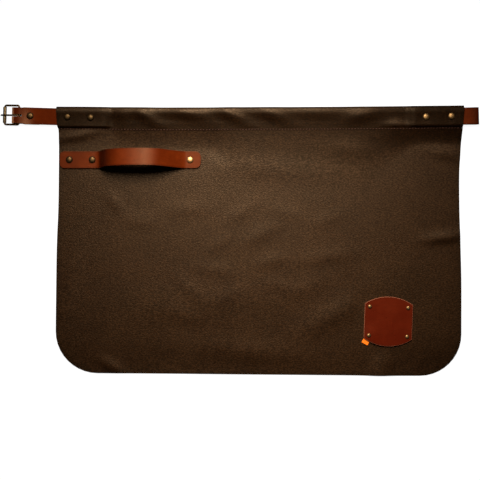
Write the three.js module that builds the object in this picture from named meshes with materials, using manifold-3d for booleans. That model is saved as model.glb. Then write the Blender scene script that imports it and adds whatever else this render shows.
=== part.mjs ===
// Leather waist apron lying on its back, front upward: +X to the right of the front,
// +Y towards the waist, +Z out of the front. Millimetres.
import * as THREE from "three";
import { mergeVertices } from "three/addons/utils/BufferGeometryUtils.js";
import Module from "manifold-3d";

const wasm = await Module();
wasm.setup();
const { clamp, degToRad, lerp, smoothstep } = THREE.MathUtils;

// Stock the apron is cut from, and the small gap left between pieces that touch.
const PANEL_LEATHER = 1.4;
const STRAP_LEATHER = 2.8;
const PATCH_LEATHER = 2.2;
const STRAP_WIDTH = 24.8;
const SEAT_GAP = 0.3;

// Apron panel: widest lines of the two sides, lower corners, and the turned hem.
const PANEL_LEFT = -273.4;
const PANEL_RIGHT = 332.6;
const PANEL_WIDTH = PANEL_RIGHT - PANEL_LEFT;
const CORNER_RADIUS = 62;
const HEM_DEPTH = 40;
const SEAM_DEPTH = 32.5;
const HEM_GAP = 0.5;
const CASING_GAP = 4.2;
const FOLD_DEPTH = 9;
const ROLL_GAP = 2;
const BED_RISE = { left: 0.7, right: 0.3 };

// How far each side stands in from its widest line, by height up the panel.
const SIDE_EDGES = [
  { y: -140, leftIn: 0.2, rightIn: 4.4 },
  { y: -60, leftIn: 1.0, rightIn: 4.4 },
  { y: -6, leftIn: 1.9, rightIn: 5.7 },
  { y: 48, leftIn: 4.1, rightIn: 7.3 },
  { y: 101, leftIn: 4.8, rightIn: 7.4 },
  { y: 137, leftIn: 5.0, rightIn: 5.4 },
  { y: 163, leftIn: 4.6, rightIn: 3.4 },
  { y: 171, leftIn: 2.9, rightIn: 3.4 },
  { y: 198, leftIn: 2.0, rightIn: 2.2 },
];

// Waist fold and lower edge, by place across the panel.
const WAIST_EDGE = [
  { x: -273, y: 197.4 },
  { x: -223, y: 197.2 },
  { x: -150, y: 196.2 },
  { x: -75, y: 195.9 },
  { x: 0, y: 196.5 },
  { x: 90, y: 196.7 },
  { x: 178, y: 197.3 },
  { x: 252, y: 198.0 },
  { x: 333, y: 198.7 },
];
const LOWER_EDGE = [
  { x: -273, y: -197.2 },
  { x: -120, y: -198.2 },
  { x: 0, y: -199.4 },
  { x: 120, y: -200.4 },
  { x: 178, y: -201.0 },
  { x: 208, y: -201.7 },
  { x: 240, y: -201.5 },
  { x: 333, y: -201.6 },
];

// Soft folds of the panel: middle, direction, half length, half width and height of each ridge.
const PANEL_FOLDS = [
  { x: -245, y: 153, angle: 14, length: 34, width: 7, height: 1.7 },
  { x: 304, y: 4, angle: 6, length: 30, width: 8, height: 1.7 },
  { x: 134, y: -113, angle: 25, length: 60, width: 14, height: 0.8 },
  { x: -190, y: -187, angle: -31, length: 22, width: 8, height: 1.4 },
  { x: 40, y: 92, angle: -4, length: 150, width: 34, height: 0.8 },
  { x: 208, y: -200, angle: 84, length: 34, width: 15, height: 2.0 },
  { x: -254, y: -86, angle: 82, length: 70, width: 14, height: 1.1 },
  { x: -60, y: -92, angle: 8, length: 120, width: 30, height: 0.8 },
  { x: 306, y: 128, angle: -14, length: 30, width: 9, height: 1.2 },
  { x: 30, y: -168, angle: -6, length: 90, width: 16, height: 0.9 },
];

// Places held flat by a riveted piece: middle, half sizes, and how far the folds die out beside them.
const HELD_FLAT = [
  { x: -162.5, y: 118.8, halfX: 106, halfY: 13, fade: 22 },
  { x: 219.7, y: -120.8, halfX: 37, halfY: 38, fade: 22 },
];

// Slack of the casing between the two straps, as slanting ridges of its front layer.
const CASING_FOLDS = [
  { x: -131, y: 182, angle: -32, length: 22, width: 9, height: 1.2 },
  { x: -60, y: 182, angle: -32, length: 22, width: 9, height: 1.4 },
  { x: 6, y: 182, angle: -32, length: 22, width: 9, height: 1.4 },
  { x: 68, y: 183, angle: -28, length: 22, width: 9, height: 1.2 },
  { x: 134, y: 184, angle: -24, length: 24, width: 9, height: 0.8 },
];

// Straps of the waist belt: the place on each centre line that the rest is measured from, and its tilt.
const BUCKLE_STRAP = { x: -270.2, y: 182.4, tilt: -1.7, inner: 66, rivet: -40.1, rivets: [15.1, 49.5] };
const BELT_STRAP = { x: 293.4, y: 182.2, tilt: 1.5, inner: -35, rivets: [-19.2, 18.3] };
const BUCKLE_FOLD_AT = -63.4;
const BUCKLE_FOLD_RADIUS = 2.6;
const BUCKLE_TURN_END = -27;
const BUCKLE_TURN_WIDTH = 23.4;
const BELT_TURN_AT = 55.6;
const BELT_VEER = 1.1;
const BELT_RUN = 513;
const BELT_TIP_LENGTH = 16;
const BELT_HOLE_RADIUS = 2.4;
const BELT_HOLE_PITCH = 25;
const BELT_HOLES = 7;
const BELT_FIRST_HOLE = 70;

// Heights above the surface: leather over the flat backs of the rivets, and over the belt run.
const LIE_HEIGHT = 1.0;
const BELT_LIFT = 4.1;

// Roller buckle.
const WIRE_RADIUS = 1.4;
const HEEL_AT = -56.7;
const FRAME_LENGTH = 22;
const FRAME_HALF = 14.1;
const FRAME_SHIFT = 0.7;
const HEEL_CORNER = 2.6;
const TOE_CORNER = 2.9;
const BAR_CLEARANCE = 0.4;
const ROLLER_RADIUS = 2.6;
const ROLLER_BORE = 1.9;
const ROLLER_LENGTH = 23.6;
const PRONG_WIDTH = 2.2;
const PRONG_EYE = 2.8;
const PRONG_BORE = 1.7;
const PRONG_REACH = 28;
const SLOT_WIDTH = 3.2;
const SLOT_PAST_BAR = 3.4;

// Towel loop: ends, centre line, corner radii, and the side view of the arch as shares of its rise.
const LOOP_LEFT = -267.3;
const LOOP_RIGHT = -57.8;
const LOOP_Y = 118.8;
const LOOP_LEFT_CORNER = 7.5;
const LOOP_RIGHT_CORNER = 8.5;
const LOOP_RISE = 31;
const LOOP_LEAN = 2.6;
const LOOP_TWIST = 6;
const LOOP_RIVETS = [-252.6, -218.7, -73.9];
const LOOP_ARCH = [
  { x: -211.5, rise: 0 },
  { x: -206.5, rise: 0.08 },
  { x: -201, rise: 0.38 },
  { x: -195, rise: 0.62 },
  { x: -183, rise: 0.82 },
  { x: -167, rise: 0.95 },
  { x: -150, rise: 1.0 },
  { x: -135, rise: 0.98 },
  { x: -120, rise: 0.84 },
  { x: -106, rise: 0.53 },
  { x: -94, rise: 0.24 },
  { x: -86, rise: 0.075 },
  { x: -81, rise: 0.008 },
  { x: -77, rise: 0 },
];

// Patch and its tab.
const PATCH = { x: 219.7, y: -120.8, turn: -2.3, width: 71.6, side: 51.2, height: 73.8 };
const PATCH_RIVETS = { x: 28.4, y: 21.3 };
const TAB = { x: 187.6, y: -148.0, turn: -119, width: 9.8, out: 6.8, under: 4.8, thickness: 1.0 };
const TAB_LIFT = { x: 188.8, y: -145.8, reach: 16, height: 1.45 };

// Rivets: cap, shank and flat back.
const RIVET = { cap: 5.1, dome: 2.7, rim: 0.8, shank: 1.6, back: 4.6, backThick: 0.7, sides: 14 };
const SMALL_RIVET = { cap: 3.0, dome: 1.7, rim: 0.6, shank: 1.1, back: 3.0, backThick: 0.7, sides: 12 };
const HOLE_PLAY = 0.3;
const CASING_SLOPE_PLAY = 0.25;

const apron = new THREE.Group();
apron.name = "leather_waist_apron";

function addPiece(name, geometry, colour, metal = 0) {
  const material = new THREE.MeshStandardMaterial({
    color: colour,
    metalness: metal,
    roughness: 0.6,
    flatShading: true,
  });
  const mesh = new THREE.Mesh(geometry, material);
  mesh.name = name;
  apron.add(mesh);
}

function toSolid(geometry) {
  const bare = geometry.clone();
  bare.deleteAttribute("normal");
  bare.deleteAttribute("uv");
  const welded = mergeVertices(bare, 1e-4);
  const mesh = new wasm.Mesh({
    numProp: 3,
    vertProperties: new Float32Array(welded.attributes.position.array),
    triVerts: new Uint32Array(welded.index.array),
  });
  return new wasm.Manifold(mesh);
}

function toGeometry(solid) {
  const mesh = solid.getMesh();
  const geometry = new THREE.BufferGeometry();
  geometry.setAttribute("position", new THREE.BufferAttribute(new Float32Array(mesh.vertProperties), 3));
  geometry.setIndex(new THREE.BufferAttribute(new Uint32Array(mesh.triVerts), 1));
  geometry.computeVertexNormals();
  return geometry;
}

// Value of one column of a table at a place in another, smooth between the rows.
function along(table, by, at, column) {
  const end = table.length - 1;
  if (at <= table[0][by]) {
    return table[0][column];
  }
  if (at >= table[end][by]) {
    return table[end][column];
  }
  let row = 0;
  while (table[row + 1][by] < at) {
    row += 1;
  }
  const slope = (k) => {
    const low = table[Math.max(k - 1, 0)];
    const high = table[Math.min(k + 1, end)];
    return (high[column] - low[column]) / (high[by] - low[by]);
  };
  const span = table[row + 1][by] - table[row][by];
  const t = (at - table[row][by]) / span;
  const keep = (1 + 2 * t) * (1 - t) ** 2 * table[row][column];
  const gain = t * t * (3 - 2 * t) * table[row + 1][column];
  const leave = t * (1 - t) ** 2 * span * slope(row);
  const arrive = t * t * (t - 1) * span * slope(row + 1);
  return keep + gain + leave + arrive;
}

function ridges(table, x, y) {
  let height = 0;
  for (const fold of table) {
    const turn = degToRad(fold.angle);
    const dx = x - fold.x;
    const dy = y - fold.y;
    const u = (dx * Math.cos(turn) + dy * Math.sin(turn)) / fold.length;
    const v = (dy * Math.cos(turn) - dx * Math.sin(turn)) / fold.width;
    height += fold.height * Math.exp(-u * u - v * v);
  }
  return height;
}

// A place on a strap, from its distance along and across the centre line.
function onStrap(strap, along, across = 0) {
  const turn = degToRad(strap.tilt);
  return new THREE.Vector2(
    strap.x + along * Math.cos(turn) - across * Math.sin(turn),
    strap.y + along * Math.sin(turn) + across * Math.cos(turn),
  );
}

// Share of the folds that is left at a place: none under a riveted piece.
function foldsLeft(x, y) {
  let left = 1;
  for (const held of HELD_FLAT) {
    const dx = Math.max(0, Math.abs(x - held.x) - held.halfX);
    const dy = Math.max(0, Math.abs(y - held.y) - held.halfY);
    left *= smoothstep(Math.hypot(dx, dy), 0, held.fade);
  }
  return left;
}

// Height of the underside of the lowest layer of the panel.
function restingHeight(x, y) {
  const lower = along(LOWER_EDGE, "x", x, "y");
  const lie = LIE_HEIGHT * smoothstep(y, lower, lower + 50);
  const below = along(WAIST_EDGE, "x", x, "y") - y;
  const propped = smoothstep(x, 170, 265);
  const beside = 1 - smoothstep(below, 20 + 8 * propped, 62 - 4 * propped);
  const tip = BELT_STRAP.x + BELT_TURN_AT - BELT_RUN;
  const before = smoothstep(x, tip - 30, tip - 1);
  const folds = ridges(PANEL_FOLDS, x, y) * foldsLeft(x, y);
  return lie + (BELT_LIFT - LIE_HEIGHT) * beside * before + folds;
}

// How far the back layer drops under a straight line from the waist roll to the seam.
function restingSlack(x, y, below) {
  if (below >= SEAM_DEPTH) {
    return 0;
  }
  const top = y + below;
  const high = restingHeight(x, top - FOLD_DEPTH);
  const low = restingHeight(x, top - SEAM_DEPTH);
  const share = clamp((below - FOLD_DEPTH) / (SEAM_DEPTH - FOLD_DEPTH), 0, 1);
  return Math.max(lerp(high, low, share) - restingHeight(x, y), -0.6 * (1 - share));
}

// Free height inside the casing, wide where a strap lies in it.
function casingGap(x, y, below) {
  const left = 1 - smoothstep(x, -186, -162);
  const right = smoothstep(x, 221, 245);
  const strap = Math.max(left, right);
  const shut = 1 - smoothstep(below, 29.2, SEAM_DEPTH);
  const slack = ridges(CASING_FOLDS, x, y) * (1 - strap);
  const roll = ROLL_GAP * clamp(1 - below / SEAM_DEPTH, 0, 1);
  const sag = (1 - strap) * restingSlack(x, y, below);
  return HEM_GAP + roll + ((CASING_GAP - HEM_GAP) * strap + slack) * shut + sag;
}

function backMiddle(x, y) {
  return restingHeight(x, y) + PANEL_LEATHER / 2;
}

function frontMiddle(x, y, below) {
  const over = 1 - smoothstep(below, HEM_DEPTH + 1, HEM_DEPTH + 24 - 8 * smoothstep(x, 170, 265));
  return backMiddle(x, y) + (PANEL_LEATHER + casingGap(x, y, below)) * over;
}

function panelTop(x, y) {
  const below = along(WAIST_EDGE, "x", x, "y") - y;
  return frontMiddle(x, y, below) + PANEL_LEATHER / 2;
}

// A sheet of even thickness from a grid of points in its middle, closed along all four rims.
function leatherSheet(grid, thickness) {
  const columns = grid.length;
  const rows = grid[0].length;
  const positions = [];
  for (let i = 0; i < columns; i += 1) {
    for (let j = 0; j < rows; j += 1) {
      const du = grid[Math.min(i + 1, columns - 1)][j].clone().sub(grid[Math.max(i - 1, 0)][j]);
      const dv = grid[i][Math.min(j + 1, rows - 1)].clone().sub(grid[i][Math.max(j - 1, 0)]);
      const half = dv.cross(du).setLength(thickness / 2);
      const outer = grid[i][j].clone().add(half);
      const inner = grid[i][j].clone().sub(half);
      positions.push(...outer.toArray(), ...inner.toArray());
    }
  }
  const faces = [];
  const quad = (a, b, c, d) => faces.push(a, b, c, a, c, d);
  const out = (i, j) => 2 * (i * rows + j);
  const inn = (i, j) => out(i, j) + 1;
  for (let i = 0; i < columns - 1; i += 1) {
    for (let j = 0; j < rows - 1; j += 1) {
      quad(out(i, j), out(i, j + 1), out(i + 1, j + 1), out(i + 1, j));
      quad(inn(i, j), inn(i + 1, j), inn(i + 1, j + 1), inn(i, j + 1));
    }
    quad(out(i, 0), out(i + 1, 0), inn(i + 1, 0), inn(i, 0));
    quad(out(i, rows - 1), inn(i, rows - 1), inn(i + 1, rows - 1), out(i + 1, rows - 1));
  }
  for (let j = 0; j < rows - 1; j += 1) {
    quad(out(0, j), inn(0, j), inn(0, j + 1), out(0, j + 1));
    quad(out(columns - 1, j), out(columns - 1, j + 1), inn(columns - 1, j + 1), inn(columns - 1, j));
  }
  const geometry = new THREE.BufferGeometry();
  geometry.setAttribute("position", new THREE.Float32BufferAttribute(positions, 3));
  geometry.setIndex(faces);
  return geometry;
}

// A strap from its side view: a line along its middle in X and Z, given thickness and cut to width.
function strapAlong(line, thickness, width) {
  const sides = [[], []];
  for (let k = 0; k < line.length; k += 1) {
    const next = line[Math.min(k + 1, line.length - 1)];
    const last = line[Math.max(k - 1, 0)];
    const into = line[k].clone().sub(last);
    const away = next.clone().sub(line[k]);
    const a = into.length() > 0 ? into.normalize() : away.clone().normalize();
    const b = away.length() > 0 ? away.normalize() : a.clone();
    const lean = new THREE.Vector2(-a.y - b.y, a.x + b.x).normalize();
    const reach = thickness / 2 / Math.max(0.5, lean.x * -a.y + lean.y * a.x);
    sides[0].push(line[k].clone().addScaledVector(lean, reach));
    sides[1].push(line[k].clone().addScaledVector(lean, -reach));
  }
  const outline = new THREE.Shape([...sides[1], ...sides[0].reverse()]);
  const geometry = new THREE.ExtrudeGeometry(outline, { depth: width, bevelEnabled: false });
  geometry.rotateX(Math.PI / 2);
  geometry.translate(0, width / 2, 0);
  return geometry;
}

function arc(x, z, radius, from, to, steps) {
  const points = [];
  for (let k = 0; k <= steps; k += 1) {
    const turn = degToRad(lerp(from, to, k / steps));
    points.push(new THREE.Vector2(x + radius * Math.cos(turn), z + radius * Math.sin(turn)));
  }
  return points;
}

function block(x0, x1, y0, y1, z0, z1) {
  const geometry = new THREE.BoxGeometry(x1 - x0, y1 - y0, z1 - z0);
  geometry.translate((x0 + x1) / 2, (y0 + y1) / 2, (z0 + z1) / 2);
  return toSolid(geometry);
}

function post(x, y, radius) {
  const geometry = new THREE.CylinderGeometry(radius, radius, 80, 12);
  geometry.rotateX(Math.PI / 2);
  geometry.translate(x, y, 0);
  return toSolid(geometry);
}

function plate(outline, z0, z1) {
  const steps = { depth: z1 - z0, bevelEnabled: false, curveSegments: 6 };
  const geometry = new THREE.ExtrudeGeometry(outline, steps);
  geometry.translate(0, 0, z0);
  return toSolid(geometry);
}

// A rivet through leather between two heights: flat back, shank and domed cap in one.
function addRivet(name, kind, x, y, under, over) {
  const foot = under - SEAT_GAP;
  const seat = over + SEAT_GAP;
  const profile = [
    new THREE.Vector2(0, foot - kind.backThick),
    new THREE.Vector2(kind.back, foot - kind.backThick),
    new THREE.Vector2(kind.back, foot),
    new THREE.Vector2(kind.shank, foot),
    new THREE.Vector2(kind.shank, seat),
    new THREE.Vector2(kind.cap, seat),
    new THREE.Vector2(kind.cap, seat + kind.rim * 0.6),
    new THREE.Vector2(kind.cap * 0.84, seat + kind.rim + (kind.dome - kind.rim) * 0.42),
    new THREE.Vector2(kind.cap * 0.48, seat + kind.rim + (kind.dome - kind.rim) * 0.85),
    new THREE.Vector2(0, seat + kind.dome),
  ];
  const geometry = new THREE.LatheGeometry(profile, kind.sides);
  geometry.rotateX(Math.PI / 2);
  geometry.translate(x, y, 0);
  addPiece(name, geometry, 0x9a7a4c, 0.9);
}

// Apron panel: one sheet from the raw edge of the hem on the back, round the waist fold, to the foot.
const BACK_ROWS = [40, 33, 29.2, 22, 16, 11];
const CASING_ROWS = [11, 16, 22, 26, 29.2, 32.5, 36, 40];
const FRONT_ROWS = [...CASING_ROWS, 45, 50, 56, 64, 74, 88, 104, 122, 142, 166, 190, 214, 236];
const FOOT_ROWS = [0.2, 0.4, 0.6, 0.8, 1];
const FOLD_TURNS = [-90, -62, -40, -14, 14, 40, 62, 90];
const CORNER_STEPS = 6;
const INNER_COLUMNS = 20;

function panelColumns() {
  const columns = [];
  for (let k = 0; k < CORNER_STEPS; k += 1) {
    const turn = (k / CORNER_STEPS) * (Math.PI / 2);
    columns.push((CORNER_RADIUS * (1 - Math.cos(turn))) / PANEL_WIDTH);
  }
  const start = CORNER_RADIUS / PANEL_WIDTH;
  for (let k = 0; k <= INNER_COLUMNS; k += 1) {
    columns.push(lerp(start, 1 - start, k / INNER_COLUMNS));
  }
  for (let k = CORNER_STEPS - 1; k >= 0; k -= 1) {
    columns.push(1 - columns[k]);
  }
  return columns;
}

function panelSection(share) {
  const nominal = lerp(PANEL_LEFT, PANEL_RIGHT, share);
  const top = along(WAIST_EDGE, "x", nominal, "y");
  const inward = Math.max(0, CORNER_RADIUS - Math.min(share, 1 - share) * PANEL_WIDTH);
  const rise = CORNER_RADIUS - Math.sqrt(CORNER_RADIUS ** 2 - inward ** 2);
  const foot = along(LOWER_EDGE, "x", nominal, "y") + rise;
  const xAt = (y) => {
    const left = PANEL_LEFT + along(SIDE_EDGES, "y", y, "leftIn");
    const right = PANEL_RIGHT - along(SIDE_EDGES, "y", y, "rightIn");
    return lerp(left, right, share);
  };
  const section = [];
  for (const below of BACK_ROWS) {
    const y = top - below;
    section.push(new THREE.Vector3(xAt(y), y, backMiddle(xAt(y), y)));
  }
  const foldY = top - FOLD_DEPTH;
  const foldX = xAt(top);
  const low = backMiddle(foldX, foldY);
  const high = frontMiddle(foldX, foldY, FOLD_DEPTH);
  for (const angle of FOLD_TURNS) {
    const turn = degToRad(angle);
    const y = foldY + (FOLD_DEPTH - PANEL_LEATHER / 2) * Math.cos(turn) ** 0.8;
    const z = (low + high) / 2 + ((high - low) / 2) * Math.sin(turn);
    section.push(new THREE.Vector3(foldX, y, z));
  }
  for (const below of FRONT_ROWS) {
    const y = top - below;
    section.push(new THREE.Vector3(xAt(y), y, frontMiddle(xAt(y), y, below)));
  }
  const lowest = top - FRONT_ROWS[FRONT_ROWS.length - 1];
  for (const part of FOOT_ROWS) {
    const y = lerp(lowest, foot, part);
    section.push(new THREE.Vector3(xAt(y), y, frontMiddle(xAt(y), y, top - y)));
  }
  return section;
}

const hemRivets = [
  ...BUCKLE_STRAP.rivets.map((at) => onStrap(BUCKLE_STRAP, at)),
  ...BELT_STRAP.rivets.map((at) => onStrap(BELT_STRAP, at)),
];
const loopRivets = LOOP_RIVETS.map((x) => new THREE.Vector2(x, LOOP_Y));
const patchRivets = [];
for (const y of [PATCH_RIVETS.y, -PATCH_RIVETS.y]) {
  for (const x of [-PATCH_RIVETS.x, PATCH_RIVETS.x]) {
    const spot = new THREE.Vector2(x, y).rotateAround(new THREE.Vector2(), degToRad(PATCH.turn));
    patchRivets.push(spot.add(new THREE.Vector2(PATCH.x, PATCH.y)));
  }
}

let panel = toSolid(leatherSheet(panelColumns().map(panelSection), PANEL_LEATHER));
for (const spot of [...hemRivets, ...loopRivets]) {
  panel = panel.subtract(post(spot.x, spot.y, RIVET.shank + HOLE_PLAY));
}
for (const spot of patchRivets) {
  panel = panel.subtract(post(spot.x, spot.y, SMALL_RIVET.shank + HOLE_PLAY));
}
addPiece("apron_panel", toGeometry(panel), 0x4a3322);

// Buckle strap: from inside the casing over the buckle bar, turned under and riveted to itself.
const bedLeft = LIE_HEIGHT + PANEL_LEATHER + CASING_GAP / 2 + BED_RISE.left;
const turnLow = LIE_HEIGHT + STRAP_LEATHER / 2;
const turnHigh = turnLow + STRAP_LEATHER + SEAT_GAP;
const barHeight = turnLow + STRAP_LEATHER / 2 + BAR_CLEARANCE + WIRE_RADIUS;
const turnTop = 2 * barHeight - turnLow;
const buckleLine = [
  new THREE.Vector2(BUCKLE_STRAP.inner, bedLeft),
  new THREE.Vector2(-4, bedLeft),
  new THREE.Vector2(-20, lerp(bedLeft, turnHigh, 0.5)),
  new THREE.Vector2(BUCKLE_STRAP.rivet + 6, turnHigh),
  new THREE.Vector2(BUCKLE_STRAP.rivet - 6.5, turnHigh),
  new THREE.Vector2(HEEL_AT + 6.3, turnHigh + 1.2),
  new THREE.Vector2(HEEL_AT + 2.5, turnTop - 0.5),
  new THREE.Vector2(HEEL_AT - 0.3, turnTop),
  new THREE.Vector2(HEEL_AT - 3.5, turnTop - 0.6),
  ...arc(BUCKLE_FOLD_AT, turnLow + BUCKLE_FOLD_RADIUS, BUCKLE_FOLD_RADIUS, 75, 270, 8),
  new THREE.Vector2(BUCKLE_TURN_END, turnLow),
];
let buckleStrap = toSolid(strapAlong(buckleLine, STRAP_LEATHER, STRAP_WIDTH));
for (const side of [-1, 1]) {
  const wide = side * (BUCKLE_TURN_WIDTH / 2 + 5);
  const trim = block(-90, HEEL_AT + 5, wide - 5, wide + 5, -5, 30);
  buckleStrap = buckleStrap.subtract(trim);
}
const slotEnd = HEEL_AT + SLOT_PAST_BAR;
buckleStrap = buckleStrap.subtract(block(-90, slotEnd, -SLOT_WIDTH / 2, SLOT_WIDTH / 2, -5, 30));
for (const at of [BUCKLE_STRAP.rivet, ...BUCKLE_STRAP.rivets]) {
  buckleStrap = buckleStrap.subtract(post(at, 0, RIVET.shank + HOLE_PLAY));
}

function setOnStrap(geometry, strap) {
  geometry.rotateZ(degToRad(strap.tilt));
  geometry.translate(strap.x, strap.y, 0);
  return geometry;
}

addPiece("buckle_strap", setOnStrap(toGeometry(buckleStrap), BUCKLE_STRAP), 0x8a4a1e);

// Belt strap: from inside the casing out to the right, turned under, then back behind the waist, where the
// run veers a little so that it keeps below the waist edge.
const bedRight = BELT_LIFT + PANEL_LEATHER + CASING_GAP / 2 + BED_RISE.right;
const runMiddle = STRAP_LEATHER / 2;
const beltTurn = (bedRight - runMiddle) / 2;
const beltTip = BELT_TURN_AT - BELT_RUN;
const beltLine = [
  new THREE.Vector2(BELT_STRAP.inner, bedRight),
  ...arc(BELT_TURN_AT, runMiddle + beltTurn, beltTurn, 90, -90, 10),
  new THREE.Vector2(beltTip, runMiddle),
];
let beltStrap = toSolid(strapAlong(beltLine, STRAP_LEATHER, STRAP_WIDTH));
const beltOutline = new THREE.Shape();
beltOutline.moveTo(100, -STRAP_WIDTH);
beltOutline.lineTo(100, STRAP_WIDTH);
beltOutline.lineTo(beltTip + BELT_TIP_LENGTH, STRAP_WIDTH);
beltOutline.lineTo(beltTip + BELT_TIP_LENGTH, STRAP_WIDTH / 2);
beltOutline.quadraticCurveTo(beltTip, STRAP_WIDTH / 3, beltTip, 0);
beltOutline.quadraticCurveTo(beltTip, -STRAP_WIDTH / 3, beltTip + BELT_TIP_LENGTH, -STRAP_WIDTH / 2);
beltOutline.lineTo(beltTip + BELT_TIP_LENGTH, -STRAP_WIDTH);
beltStrap = beltStrap.intersect(plate(beltOutline, -5, 40));
for (let k = 0; k < BELT_HOLES; k += 1) {
  beltStrap = beltStrap.subtract(post(beltTip + BELT_FIRST_HOLE + k * BELT_HOLE_PITCH, 0, BELT_HOLE_RADIUS));
}
for (const at of BELT_STRAP.rivets) {
  const bore = post(at, 0, RIVET.shank + HOLE_PLAY).intersect(block(at - 9, at + 9, -9, 9, BELT_LIFT, 30));
  beltStrap = beltStrap.subtract(bore);
}
const beltGeometry = toGeometry(beltStrap);
const beltPoints = beltGeometry.attributes.position;
for (let k = 0; k < beltPoints.count; k += 1) {
  if (beltPoints.getZ(k) < STRAP_LEATHER + 0.1) {
    const back = Math.max(0, BELT_TURN_AT - beltPoints.getX(k));
    beltPoints.setY(k, beltPoints.getY(k) + back * Math.sin(degToRad(BELT_VEER)));
  }
}
addPiece("belt_strap", setOnStrap(beltGeometry, BELT_STRAP), 0x8a4a1e);

// Buckle, drawn flat with its heel bar on the Y axis, then drooped so that the roller lies on the surface.
const droop = Math.asin((barHeight - ROLLER_RADIUS) / FRAME_LENGTH);

function setOnHeel(geometry, across = 0) {
  geometry.rotateY(-droop);
  geometry.translate(HEEL_AT, across, barHeight);
  return setOnStrap(geometry, BUCKLE_STRAP);
}

function frameCentreLine() {
  const toe = -FRAME_LENGTH;
  return [
    ...arc(-HEEL_CORNER, FRAME_HALF - HEEL_CORNER, HEEL_CORNER, 0, 90, 4),
    ...arc(toe + TOE_CORNER, FRAME_HALF - TOE_CORNER, TOE_CORNER, 90, 180, 4),
    ...arc(toe + TOE_CORNER, TOE_CORNER - FRAME_HALF, TOE_CORNER, 180, 270, 4),
    ...arc(-HEEL_CORNER, HEEL_CORNER - FRAME_HALF, HEEL_CORNER, 270, 360, 4),
  ];
}

// Wire bent to a closed ring in one plane: a round section carried along the centre line.
function wireRing(line, radius, sides) {
  const positions = [];
  const faces = [];
  const count = line.length;
  for (let k = 0; k < count; k += 1) {
    const a = line[k].clone().sub(line[(k + count - 1) % count]).normalize();
    const b = line[(k + 1) % count].clone().sub(line[k]).normalize();
    const side = new THREE.Vector2(a.y + b.y, -a.x - b.x).normalize();
    const stretch = 1 / (side.x * a.y - side.y * a.x);
    for (let s = 0; s < sides; s += 1) {
      const turn = (s / sides) * 2 * Math.PI;
      const reach = radius * Math.cos(turn) * stretch;
      positions.push(line[k].x + side.x * reach, line[k].y + side.y * reach, radius * Math.sin(turn));
      const next = (s + 1) % sides;
      const here = k * sides;
      const there = ((k + 1) % count) * sides;
      faces.push(here + s, there + s, there + next, here + s, there + next, here + next);
    }
  }
  const geometry = new THREE.BufferGeometry();
  geometry.setAttribute("position", new THREE.Float32BufferAttribute(positions, 3));
  geometry.setIndex(faces);
  return geometry;
}

addPiece("buckle_frame", setOnHeel(wireRing(frameCentreLine(), WIRE_RADIUS, 12), FRAME_SHIFT), 0x9a7a4c, 0.9);

const rollerProfile = [
  new THREE.Vector2(ROLLER_BORE, -ROLLER_LENGTH / 2),
  new THREE.Vector2(ROLLER_RADIUS, -ROLLER_LENGTH / 2),
  new THREE.Vector2(ROLLER_RADIUS, ROLLER_LENGTH / 2),
  new THREE.Vector2(ROLLER_BORE, ROLLER_LENGTH / 2),
  new THREE.Vector2(ROLLER_BORE, -ROLLER_LENGTH / 2),
];
const roller = new THREE.LatheGeometry(rollerProfile, 16);
roller.translate(-FRAME_LENGTH, 0, 0);
addPiece("buckle_roller", setOnHeel(roller, FRAME_SHIFT), 0x9a7a4c, 0.9);

// Prong: an eye round the heel bar, a shank laid over the roller and a tip turned down a little.
const prongRest = ROLLER_RADIUS + 0.2;
const prongSide = new THREE.Shape([
  ...arc(0, 0, PRONG_EYE, 150, 450, 16),
  new THREE.Vector2(-FRAME_LENGTH + 1, prongRest + 1.75),
  new THREE.Vector2(-FRAME_LENGTH - 2.5, prongRest + 1.5),
  new THREE.Vector2(-PRONG_REACH + 0.4, prongRest + 0.2),
  new THREE.Vector2(-PRONG_REACH, prongRest - 0.6),
  new THREE.Vector2(-PRONG_REACH + 0.6, prongRest - 0.9),
  new THREE.Vector2(-FRAME_LENGTH - 2.2, prongRest + 0.05),
  new THREE.Vector2(-FRAME_LENGTH + 1, prongRest + 0.05),
]);
prongSide.holes.push(new THREE.Path(arc(0, 0, PRONG_BORE, 360, 22.5, 15)));
const prong = new THREE.ExtrudeGeometry(prongSide, { depth: PRONG_WIDTH, bevelEnabled: false });
prong.rotateX(Math.PI / 2);
prong.translate(0, PRONG_WIDTH / 2, 0);
addPiece("buckle_prong", setOnHeel(prong), 0x9a7a4c, 0.9);

// Towel loop: riveted flat at both ends, standing up in a lopsided arch that leans to the waist.
const loopSeat = LIE_HEIGHT + PANEL_LEATHER + SEAT_GAP + STRAP_LEATHER / 2;
const archLine = new THREE.SplineCurve(
  LOOP_ARCH.map((row) => new THREE.Vector2(row.x, loopSeat + row.rise * LOOP_RISE)),
);
const loopLine = [
  new THREE.Vector2(LOOP_LEFT, loopSeat),
  ...archLine.getPoints(36),
  new THREE.Vector2(LOOP_RIGHT, loopSeat),
];
const loopOutline = new THREE.Shape();
const loopHalf = STRAP_WIDTH / 2;
const leftIn = loopHalf - LOOP_LEFT_CORNER;
const rightIn = loopHalf - LOOP_RIGHT_CORNER;
const leftTurn = LOOP_LEFT + LOOP_LEFT_CORNER;
const rightTurn = LOOP_RIGHT - LOOP_RIGHT_CORNER;
loopOutline.absarc(leftTurn, -leftIn, LOOP_LEFT_CORNER, Math.PI, 1.5 * Math.PI);
loopOutline.absarc(rightTurn, -rightIn, LOOP_RIGHT_CORNER, 1.5 * Math.PI, 0);
loopOutline.absarc(rightTurn, rightIn, LOOP_RIGHT_CORNER, 0, 0.5 * Math.PI);
loopOutline.absarc(leftTurn, leftIn, LOOP_LEFT_CORNER, 0.5 * Math.PI, Math.PI);
let loop = toSolid(strapAlong(loopLine, STRAP_LEATHER, STRAP_WIDTH + 2));
loop = loop.intersect(plate(loopOutline, -5, 80));
for (const x of LOOP_RIVETS) {
  loop = loop.subtract(post(x, 0, RIVET.shank + HOLE_PLAY));
}
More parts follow.
